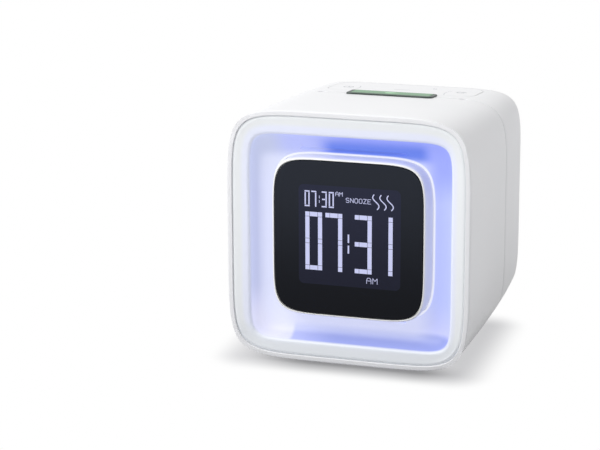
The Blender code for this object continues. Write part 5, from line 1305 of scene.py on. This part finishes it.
def point_cloud(name, points, **vectors):
    """A mesh of loose points, with a vector attribute for each named list."""
    mesh = bpy.data.meshes.new(name)
    mesh.from_pydata([tuple(p) for p in points], [], [])
    for label, values in vectors.items():
        layer = mesh.attributes.new(label, "FLOAT_VECTOR", "POINT")
        for item, value in zip(layer.data, values):
            item.vector = value
    return new_object(name, mesh)


for left, digit in SMALL_DIGITS:
    cells_made += small_digit(left, BARS[digit])
cells_made += colon(*SMALL_COLON)
digits = point_cloud("time_digits", [spot for spot, _ in cells_made], size=[s for _, s in cells_made])
grow(digits, cell_tree, Shrink=HAIR)
settle(digits, "housing", None)

# %% [markdown]
# Small function words and the three scent waves are thin strokes too. A second tree gives any run of
# edges a round stroke of a chosen width, and the mesh is then flattened to a print. Letters are
# drawn as polylines on a five by seven grid, the plainest way to write a few capitals.

# %% Tree for strokes
FLATTEN = 0.12
stroke_tree, given = new_tree("strokes", ("Width",))
half = add(
    stroke_tree, "ShaderNodeMath", {"operation": "MULTIPLY"}, {0: given.outputs["Width"], 1: 0.5}
)
path = add(stroke_tree, "GeometryNodeMeshToCurve", None, {"Mesh": given.outputs["Geometry"]})
rim = add(
    stroke_tree, "GeometryNodeCurvePrimitiveCircle", None, {"Resolution": 8, "Radius": half.outputs[0]}
)
tube = add(
    stroke_tree,
    "GeometryNodeCurveToMesh",
    None,
    {"Curve": path.outputs["Curve"], "Profile Curve": rim.outputs["Curve"], "Fill Caps": True},
)
end_tree(stroke_tree, tube.outputs["Mesh"], cell_glow)


def strokes(name, paths, width, glass=None):
    """Flat strokes through pairs of numbers: upright on a glass at a depth, or else lying flat."""
    upright = glass is not None
    verts, edges = [], []
    for points in paths:
        first = len(verts)
        verts += [(x, 0.0, along) if upright else (x, along, 0.0) for x, along in points]
        edges += [(first + k, first + k + 1) for k in range(len(points) - 1)]
    mesh = bpy.data.meshes.new(name)
    mesh.from_pydata(verts, edges, [])
    made = new_object(name, mesh)
    grow(made, stroke_tree, Width=width)
    squash = Matrix.Diagonal((1, FLATTEN, 1, 1) if upright else (1, 1, FLATTEN, 1))
    made.data.transform(Matrix.Translation((0, glass or 0.0, 0)) @ squash)
    return made


print("stroke tree has", len(stroke_tree.nodes), "nodes")

# %% [markdown]
# Each letter is a list of strokes, and each stroke a run of grid points: column, then row. Every
# straight piece is made by itself and a little longer at both ends, so that no corner is pinched.

# %% Letters
LETTERS = {
    "A": ("00 04 16 36 44 40", "03 43"),
    "M": ("00 06 23 46 40",),
    "S": ("45 36 16 05 04 13 33 42 41 30 10 01",),
    "N": ("00 06 40 46",),
    "O": ("10 01 05 16 36 45 41 30 10",),
    "Z": ("06 46 00 40",),
    "E": ("46 06 00 40", "03 33"),
}


def letter_paths(word, left, low, width, height, advance):
    """Polylines for a word, as lists of (x, height) points."""
    paths = []
    for place, letter in enumerate(word):
        for stroke in LETTERS[letter]:
            paths.append([
                (left + place * advance + int(p[0]) / 4 * width, low + int(p[1]) / 6 * height)
                for p in stroke.split()
            ])
    return paths


def segments(paths, more):
    """Every straight piece by itself, longer by the same amount at both ends."""
    pieces = []
    for points in paths:
        for (x1, h1), (x2, h2) in zip(points, points[1:]):
            length = math.hypot(x2 - x1, h2 - h1)
            dx, dh = (x2 - x1) / length * more, (h2 - h1) / length * more
            pieces.append([(x1 - dx, h1 - dh), (x2 + dx, h2 + dh)])
    return pieces


print("letters drawn:", " ".join(LETTERS))

# %% [markdown]
# The words tell which half of the day the time is in and what a touch on the top does. The three
# waves, each most of one swing of a cosine, stand for scent that rises.

# %% Words and waves
WAVE_TOP, WAVE_HEIGHT, WAVE_SWING, WAVE_START, WAVE_HALF = 20.2, 6.3, 1.35, 0.19, 0.59
FIRST_WAVE, WAVE_PITCH, WAVE_STROKE, WORD_STROKE = 10.61, 3.05, 0.44, 0.22


def wave(start):
    points = []
    for k in range(33):
        t = k / 32
        swing = WAVE_SWING * math.cos(math.pi * (t - WAVE_START) / WAVE_HALF)
        points.append((start + WAVE_SWING - swing, WAVE_TOP - WAVE_HEIGHT * t))
    return points


words = letter_paths("AM", -5.35, 18.5, 1.25, 1.65, 1.75)
words += letter_paths("SNOOZE", -0.82, 16.1, 1.3, 1.86, 1.87)
words += letter_paths("AM", 8.15, -17.95, 1.9, 2.4, 2.65)
words = segments(words, 0.06)
settle(strokes("display_words", words, WORD_STROKE, LENS_FACE), "housing", None)
waves = [wave(FIRST_WAVE + WAVE_PITCH * k) for k in range(3)]
settle(strokes("scent_waves", waves, WAVE_STROKE, LENS_FACE), "housing", None)

# %% [markdown]
# The touch panel is a rounded plate let into the sloping top. It is the same white ABS with a little
# more polish, and it carries faint grey printed marks: a plain picture at each end, a dash in the
# middle and two fine curved dividers. The marks are thin plates draped over the panel.

# %% Touch panel and its marks
panel_abs = satin_plastic("white_touch_abs", "#EEEEF0", "#EAEBED", 0.36, 0.7, 0.2)
touch_top = top_skin("touch_top", 0.0, TOUCH_THICK, 0.0)
settle(touch_top, "housing", panel_abs, ("touch_panel",), sharp=28)


def drape(obj):
    """Moves each point up from its height above zero onto the body's top."""
    for vert in obj.data.vertices:
        vert.co.z += surface_height(vert.co.x, vert.co.y)
    return obj


def arc(middle, radius, start, end, steps=20):
    angles = [math.radians(start + (end - start) * k / steps) for k in range(steps + 1)]
    return [(middle[0] + radius * math.cos(a), middle[1] + radius * math.sin(a)) for a in angles]


def divider(side):
    """A curve from front to back that bows away from the middle towards both ends."""
    depths = [77.0 + 15.0 * k / 16 for k in range(17)]
    return [(side * (20.0 + 1.2 * ((depth - 84.5) / 7.5) ** 2), depth) for depth in depths]


MARKS = [
    arc((-25.4, 87.0), 2.2, 0, 360),
    [(-25.4, 87.0), (-25.4, 88.5)],
    [(-25.4, 87.0), (-24.4, 86.2)],
    [(-4.2, 86.9), (3.1, 86.9)],
    arc((26.0, 88.0), 1.5, 0, 360),
    arc((26.0, 88.0), 2.6, 20, 160),
    arc((12.3, 95.8), 0.7, 0, 360),
]
# Pad print is a thin, matt ink, so the marks read as grey on the white and never as relief.
mark_ink = satin_plastic("grey_pad_print", "#A9ACB2", "#A2A5AC", 0.5, 0.6, 0.0)
settle(drape(strokes("touch_marks", MARKS, 0.42)), "housing", mark_ink)
dividers = strokes("touch_dividers", [divider(1), divider(-1)], 0.22)
settle(drape(dividers), "housing", mark_ink)

# %% [markdown]
# The cartridge is a flat grey tongue with an arched lower end, moulded in polypropylene, whose waxy
# skin shines less than ABS. The grille in its lower half lets air pass through the scented block.
# Its slots are set out by the row tree, so that the bars between them come out evenly, and are then
# trimmed to a field with the same arch.

# %% Cartridge shell with its grille
CARTRIDGE_WIDTH, CARTRIDGE_END, CARTRIDGE_THICK, CARTRIDGE_WALL = 37.8, 36.6, 9.4, 1.5
CARTRIDGE_TIP, ARCH_START, ARCH = CAP_TOP - 80.0, 16.0, 2.5
GRILLE_TOP, GRILLE_WIDTH, GRILLE_MARGIN, GRILLE_SLOTS, GRILLE_RIB = CAP_TOP - 39.0, 30.0, 5.2, 8, 1.1
BODY_TOP = CAP_BOTTOM - GAP


def arched(half_top, half_end, top, spring, tip, steps=40):
    points = [(half_top, top), (-half_top, top)]
    for step in range(steps + 1):
        angle = math.pi + math.pi * step / steps
        c, s = math.cos(angle), math.sin(angle)
        reach = (abs(c) ** ARCH + abs(s) ** ARCH) ** (-1 / ARCH)
        points.append((half_end * reach * c, spring + (spring - tip) * reach * s))
    return points


def tongue(inset, top):
    return arched(
        CARTRIDGE_WIDTH / 2 - inset,
        CARTRIDGE_END / 2 - inset,
        top,
        CARTRIDGE_TIP + ARCH_START,
        CARTRIDGE_TIP + inset,
    )


half_thick = CARTRIDGE_THICK / 2
inner = half_thick - CARTRIDGE_WALL
shell = plate(
    "cartridge_shell", tongue(0.0, BODY_TOP), SEAM - half_thick, SEAM + half_thick, bevel=1.1, segments=4
)
room = plate("room", tongue(CARTRIDGE_WALL, BODY_TOP + 3), SEAM - inner, SEAM + inner)
slot_width = (GRILLE_WIDTH - (GRILLE_SLOTS - 1) * GRILLE_RIB) / GRILLE_SLOTS
long_slot = rounded(slot_width, 60.0, 0.3, middle=(0, GRILLE_TOP - 30))
bars = plate("grille", long_slot, SEAM - CARTRIDGE_THICK, SEAM + CARTRIDGE_THICK)
grow(bars, row_tree, Count=GRILLE_SLOTS, Pitch=slot_width + GRILLE_RIB, Reach=ENDLESS)
tip = CARTRIDGE_TIP + GRILLE_MARGIN
spring = tip + ARCH_START * GRILLE_WIDTH / CARTRIDGE_WIDTH
arched_field = arched(GRILLE_WIDTH, GRILLE_WIDTH / 2, GRILLE_TOP, spring, tip)
carve(bars, TRIM, plate("field", arched_field, SEAM - 20, SEAM + 20))
carve(shell, CUT, room, bars)
cartridge_grey = satin_plastic("grey_polypropylene", "#8E9197", "#868A91", 0.46, 0.8, 0.3, ior=1.49)
settle(shell, "cartridge", cartridge_grey, ("cartridge_body",), sharp=40)

# %% [markdown]
# The cap is a rounded plate of dark polypropylene with a shallow tray. The label lies in the tray:
# green pad print, a little glossier than the rim round it, with a lighter drop on it, drawn for this
# model as a plain sign for scent.

# %% Cap and label
SPIGOT_WIDTH, SPIGOT_THICKNESS, SPIGOT_CORNER = 35.0, 5.8, 0.85
TRAY_WIDTH, TRAY_HEIGHT, TRAY_CORNER, TRAY_DEPTH = 35.8, 9.2, 1.2, 0.5
LABEL_MIDDLE = (0, SEAM + 0.85)
LABEL_WIDTH, LABEL_HEIGHT, LABEL_CORNER = 35.4, 8.8, 1.05


def follow_top(obj):
    """Tilts what lies above the cap's underside to the slope of the clock's top."""
    for vert in obj.data.vertices:
        if vert.co.z > CAP_BOTTOM + 0.6:
            vert.co.z -= (vert.co.y - SEAM) * math.tan(TOP_SLOPE)
    return obj


rim_outline = rounded(CAP_SEEN_WIDTH, CAP_THICKNESS, CAP_CORNER, steps=12, middle=(0, SEAM))
cap = plate("cap_rim", rim_outline, CAP_BOTTOM, CAP_SEEN_TOP, "up", bevel=0.25, segments=4)
foot_outline = rounded(SPIGOT_WIDTH, SPIGOT_THICKNESS, SPIGOT_CORNER, middle=(0, SEAM))
tray_outline = rounded(TRAY_WIDTH, TRAY_HEIGHT, TRAY_CORNER, steps=12, middle=LABEL_MIDDLE)
carve(cap, FUSE, plate("spigot", foot_outline, CAP_BOTTOM - 3, CAP_BOTTOM + 0.5, "up"))
carve(cap, CUT, plate("tray", tray_outline, CAP_SEEN_TOP - TRAY_DEPTH, ABOVE, "up"))
cap_dark = satin_plastic("dark_polypropylene", "#3E4B45", "#37443F", 0.42, 0.8, 0.25, ior=1.49)
settle(follow_top(cap), "cartridge", cap_dark, ("cartridge_cap",), sharp=40)

label_outline = rounded(LABEL_WIDTH, LABEL_HEIGHT, LABEL_CORNER, steps=12, middle=LABEL_MIDDLE)
label_low, label_high = CAP_SEEN_TOP - 0.42, CAP_SEEN_TOP + 0.05
label = plate("green_label", label_outline, label_low, label_high, "up", bevel=0.12, segments=2)
label_green = satin_plastic("green_label_print", "#62976C", "#5D9166", 0.38, 0.9, 0.15, ior=1.5)
settle(follow_top(label), "cartridge", label_green, ("cartridge_label",), sharp=40)


def drop_outline(x, depth, radius, length, steps=28):
    """A drop lying along X with its point to the right."""
    points = []
    for k in range(steps):
        angle = math.radians(40) + math.radians(280) * k / (steps - 1)
        points.append((x + radius * math.cos(angle), depth + radius * math.sin(angle)))
    return points + [(x + length, depth)]


drop_shape = drop_outline(-1.0, LABEL_MIDDLE[1], 2.2, 5.2)
drop = plate("label_drop", drop_shape, CAP_SEEN_TOP, CAP_SEEN_TOP + 0.09, "up")
drop_print = satin_plastic("pale_green_print", "#A2D4A8", "#9CCEA2", 0.4, 0.9, 0.0)
settle(follow_top(drop), "cartridge", drop_print)

# %% [markdown]
# Four keys stand in the panel on the back. Each is a turned grey button with a soft rim, a flange
# that stops it behind the wall and a stem that meets its switch. Every key moves on its own body.
# They are satin ABS, a shade darker than the shell, so that fingers and eyes find them.

# %% Keys
KEY_FACE = BODY_DEPTH - PANEL_RECESS + 0.7
FLANGE, FLANGE_THICK, STEM_RADIUS, STEM_LENGTH = 0.9, 0.9, 1.6, 2.8
KEY_DISH, KEY_ROUND = ((0, -0.12), (0.5, -0.09), (0.8, -0.03)), 0.4
key_grey = satin_plastic("grey_key_abs", "#C3C6CB", "#BDC0C6", 0.42, 0.7, 0.3)


def key(name, x):
    back = BACK_INNER - GAP - KEY_FACE
    stem = back - FLANGE_THICK - STEM_LENGTH
    profile = [(BUTTON_RADIUS * share, along) for share, along in KEY_DISH]
    for k in range(7):
        angle = math.pi / 2 * k / 6
        out, along = KEY_ROUND * math.sin(angle), KEY_ROUND * math.cos(angle)
        profile.append((BUTTON_RADIUS - KEY_ROUND + out, along - KEY_ROUND))
    profile += [
        (BUTTON_RADIUS, back),
        (BUTTON_RADIUS + FLANGE, back),
        (BUTTON_RADIUS + FLANGE, back - FLANGE_THICK),
        (STEM_RADIUS, back - FLANGE_THICK),
        (STEM_RADIUS, stem),
        (0, stem),
    ]
    return turned(name + "_key", profile, (x, KEY_FACE, BUTTON_HEIGHT), steps=64)


for name, x in BUTTON_X.items():
    settle(key(name, x), name + "_key", key_grey, (name,), sharp=35)

# %% [markdown]
# The socket for the power plug is a moulded block with a round mouth and a pin in its middle. The
# plastic is a stiff black polyester, dull and even, as sockets are.

# %% Power socket
INLET_SIZE, INLET_LENGTH, INLET_BORE, INLET_PIN, BORE_DEPTH = 9.0, 14.0, 2.8, 1.0, 10.0
BARREL_LENGTH = 5.0
inlet_rear = BACK_INNER - GAP
barrel_rear = BODY_DEPTH - 2 * GAP
housing_block = plate(
    "power_socket",
    rounded(INLET_SIZE, INLET_SIZE, 0.5, middle=(0, INLET_HEIGHT)),
    inlet_rear - INLET_LENGTH,
    inlet_rear,
)
barrel_side = [(0, BARREL_LENGTH), (INLET_BARREL - 0.3, BARREL_LENGTH), (INLET_BARREL - 0.1, 4.9)]
barrel_side += [(INLET_BARREL, 4.7), (INLET_BARREL, 0), (0, 0)]
barrel = turned("barrel", barrel_side, (0, barrel_rear - BARREL_LENGTH, INLET_HEIGHT), steps=64)
bore_side = [(0, BORE_DEPTH + 3), (INLET_BORE + 0.4, BORE_DEPTH + 3), (INLET_BORE + 0.4, BORE_DEPTH)]
bore_side += [(INLET_BORE, BORE_DEPTH - 0.4), (INLET_BORE, 0), (INLET_PIN, 0)]
bore_side += [(INLET_PIN, BORE_DEPTH - 1.0), (INLET_PIN * 0.6, BORE_DEPTH - 0.6), (0, BORE_DEPTH - 0.6)]
bore = turned("bore", bore_side, (0, barrel_rear - BORE_DEPTH, INLET_HEIGHT), steps=64)
carve(housing_block, FUSE, barrel)
carve(housing_block, CUT, bore)
socket_black = satin_plastic("black_pbt", "#1B1C1F", "#17181B", 0.48, 0.8, 0.3)
settle(housing_block, "housing", socket_black, ("dc_inlet",), sharp=35)

# %% [markdown]
# Four zinc-plated screws sit deep in their wells and four rubber discs carry the clock. Both come
# from one tree, which sets a piece on the corners of a rectangle. The rectangle lies flat, and its
# turn stands it up where the pieces belong on the back.

# %% Tree for four corners
corner_tree, given = new_tree("four_corners", ("Width", "Length", "Turn"))
corners = add(
    corner_tree,
    "GeometryNodeMeshGrid",
    None,
    {
        "Size X": given.outputs["Width"],
        "Size Y": given.outputs["Length"],
        "Vertices X": 2,
        "Vertices Y": 2,
    },
)
tilt = add(corner_tree, "ShaderNodeCombineXYZ", None, {"X": given.outputs["Turn"]})
upright = add(
    corner_tree,
    "GeometryNodeTransform",
    None,
    {"Geometry": corners.outputs["Mesh"], "Rotation": tilt.outputs[0]},
)
placed = add(
    corner_tree,
    "GeometryNodeInstanceOnPoints",
    None,
    {"Points": upright.outputs["Geometry"], "Instance": given.outputs["Geometry"]},
)
end_tree(corner_tree, placed.outputs["Instances"], plain_cutter)
print("corner tree has", len(corner_tree.nodes), "nodes")

# %% [markdown]
# A screw is turned from a profile, and its head has a cross recess, cut before the screw is
# repeated. Zinc plating is a bright but slightly cloudy metal, so its gloss wanders from place to
# place.

# %% Screws
HEAD_RADIUS, HEAD_HEIGHT, SHANK, SCREW_LENGTH = 2.8, 2.2, 1.4, 16.0
CROSS_REACH, CROSS_HALF, CROSS_DEPTH = 1.5, 0.32, 1.3
top = GAP + HEAD_HEIGHT
dome = ((0, 0), (0.55, 0.08), (0.8, 0.35), (0.95, 0.9), (1, 1.4))
side = [(HEAD_RADIUS * share, top - fall) for share, fall in dome]
side += [(HEAD_RADIUS, GAP), (SHANK, GAP), (SHANK, GAP - SCREW_LENGTH + 2 * SHANK), (0, GAP - SCREW_LENGTH)]
screw = turned("cover_screws", side, (0, 0, 0), steps=40)
arms = [
    box("arm", (-wide, top - CROSS_DEPTH, -high), (wide, top + 1, high))
    for wide, high in ((CROSS_REACH, CROSS_HALF), (CROSS_HALF, CROSS_REACH))
]
carve(screw, CUT, *arms)
upper, lower = SCREW_HEIGHTS
grow(screw, corner_tree, Width=2 * SCREW_X, Length=upper - lower, Turn=math.pi / 2)
screw.data.transform(Matrix.Translation((0, SCREW_SEAT, (upper + lower) / 2)))
zinc, tree, shader, spot = new_material("zinc_plated_steel", "#B9BCC0", 0.30, metallic=1.0)
wear = add(tree, "ShaderNodeTexNoise", None, {"Vector": spot, "Scale": 2.2, "Detail": 3.0})
dulled = add(
    tree, "ShaderNodeMapRange", None, {"Value": wear.outputs["Fac"], "To Min": 0.22, "To Max": 0.42}
)
tree.links.new(dulled.outputs["Result"], shader.inputs["Roughness"])
screw_names = ["cover_screw_" + end for end in ("top_left", "top_right", "low_left", "low_right")]
settle(screw, "housing", zinc, screw_names, sharp=35)

# %% [markdown]
# The feet are turned discs of a rubbery elastomer, nearly without gloss, that stand square to the
# table in their recesses. The same tree sets them out, and the result is tilted by the clock's lean.

# %% Feet
rise = min(surface_height(FOOT_X, d, -1) - floor_height(d) for d in FOOT_DEPTHS) + FOOT_RECESS - GAP
foot_side = [(0, rise), (FOOT_RADIUS, rise), (FOOT_RADIUS, 0.5)]
foot_side += [(FOOT_RADIUS - 0.15, 0.2), (FOOT_RADIUS - 0.5, 0.0), (0, 0)]
foot = turned("rubber_feet", foot_side, (0, 0, 0), "up", steps=64)
between = (FOOT_DEPTHS[1] - FOOT_DEPTHS[0]) / math.cos(LEAN)
grow(foot, corner_tree, Width=2 * FOOT_X, Length=between, Turn=0.0)
centre = sum(FOOT_DEPTHS) / 2
stand = Matrix.Translation((0, centre, floor_height(centre))) @ Matrix.Rotation(LEAN, 4, "X")
foot.data.transform(stand)
rubber = satin_plastic("black_tpe_rubber", "#2A2B2D", "#242527", 0.78, 0.5, 0.5, ior=1.52)
foot_names = [f"foot_{end}_{side}" for end in ("front", "rear") for side in ("left", "right")]
settle(foot, "housing", rubber, foot_names, sharp=35)

# %% [markdown]
# What is left of the CAD model lies inside the shells and shows only through the slots, or when a
# shell is taken away. Its meshes stay as they are, but every one gets a proper finish. Circuit
# boards are glass fibre under a green mask, with traces that show as a paler net. The fan's coil is
# enamelled copper wire, whose turns show as fine bands.

# %% Circuit boards and copper
def circuit_board():
    made, tree, shader, spot = new_material("fr4_green_mask", "#1E5B3C", 0.38, ior=1.55)
    traces = add(
        tree,
        "ShaderNodeTexVoronoi",
        {"feature": "DISTANCE_TO_EDGE"},
        {"Vector": spot, "Scale": 0.45},
    )
    thin = soft_field(tree, (traces.outputs["Distance"], 0.05, 0.03), most=0.5)
    tree.links.new(painted(tree, "#1E5B3C", (thin, "#2E7A50")), shader.inputs["Base Color"])
    return made


def copper():
    made, tree, shader, spot = new_material("enamelled_copper", "#B4643C", 0.32, metallic=1.0)
    turns = add(
        tree,
        "ShaderNodeTexWave",
        {"bands_direction": "Y"},
        {"Vector": spot, "Scale": 1.6, "Distortion": 0.4},
    )
    wound = painted(tree, "#A85A34", (turns.outputs["Fac"], "#C4744A"))
    tree.links.new(wound, shader.inputs["Base Color"])
    return made


boards, coil = circuit_board(), copper()
print("finishes made:", boards.name, "and", coil.name)

# %% [markdown]
# The air duct ends right behind the outlets, where the lamps light its mouth. Its glow is deep blue
# behind most of the upper outlet and pale elsewhere, and it dies away within two centimetres.

# %% Lit air duct
def lit_duct():
    """Grey ABS whose mouth, just behind the outlets, carries the lamps' light for a short way."""
    made = satin_plastic("grey_duct_abs_lit", "#93969B", "#8C9095", 0.5, 0.9, 0.3)
    tree = made.node_tree
    shader = tree.nodes["Principled BSDF"]
    spot = next(node for node in tree.nodes if node.bl_idname == "ShaderNodeMapping").outputs["Vector"]
    parts = add(tree, "ShaderNodeSeparateXYZ", None, {0: spot})
    deep = soft_field(tree, (parts.outputs["Z"], -10, 10), (parts.outputs["X"], -17, -8))
    tree.links.new(painted(tree, "#AAB4F2", (deep, "#5672E0")), shader.inputs["Emission Color"])
    strength = soft_field(tree, (parts.outputs["Y"], 34, 14), most=0.8)
    tree.links.new(strength, shader.inputs["Emission Strength"])
    return made


duct = lit_duct()
print("finish made:", duct.name)

# %% [markdown]
# The rest are plain materials. Fan parts are a smooth black polyester. The light guide is clear
# acrylic, glossy and pale. The crystal's glass is dark and the glossiest of all. The scented block
# and the speaker's paper cone have no gloss, only a coarse tooth.

# %% Finishes for the inner pieces
duct_grey = satin_plastic("grey_duct_abs", "#93969B", "#8C9095", 0.5, 0.9, 0.3)
fan_black = satin_plastic("black_fan_pbt", "#1D1E20", "#18191B", 0.42, 0.8, 0.3)
guide = satin_plastic("acrylic_light_guide", "#DCDEEA", "#D6D9E6", 0.22, 1.2, 0.1, ior=1.49)
cell_glass = satin_plastic("dark_lcd_glass", "#232536", "#1F2131", 0.12, 1.0, 0.0, ior=1.52)
scent = satin_plastic("porous_scent_block", "#3C3A3E", "#333136", 0.9, 0.6, 0.9)
cone_paper = satin_plastic("pressed_paper_cone", "#2E2D2F", "#272628", 0.85, 0.7, 0.8)
INNER = {
    "led_ring_board": boards,
    "display_board": boards,
    "touch_board": boards,
    "main_board": boards,
    "button_board": boards,
    "air_duct": duct,
    "cartridge_bay": duct_grey,
    "fan_frame": fan_black,
    "fan_impeller": fan_black,
    "fan_stator": coil,
    "lcd_module": cell_glass,
    "backlight_plate": guide,
    "coin_cell_holder": socket_black,
    "coin_cell": zinc,
    "speaker_basket": socket_black,
    "speaker_cone": cone_paper,
    "scent_insert": scent,
}
for name, finish in INNER.items():
    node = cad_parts[name]
    node.data.materials.clear()
    node.data.materials.append(finish)
print("inner pieces finished:", len(INNER))

# %% [markdown]
# The last cell compares the dressed clock's size with the CAD box and prints both.

# %% Measure and finish
visual_box = [list(corner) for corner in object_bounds()]
for axis in range(3):
    cad_size = (cad_box[1][axis] - cad_box[0][axis]) / MM
    seen_size = (visual_box[1][axis] - visual_box[0][axis]) / MM
    print("xyz"[axis], "CAD", round(cad_size, 2), "mm, dressed", round(seen_size, 2), "mm")
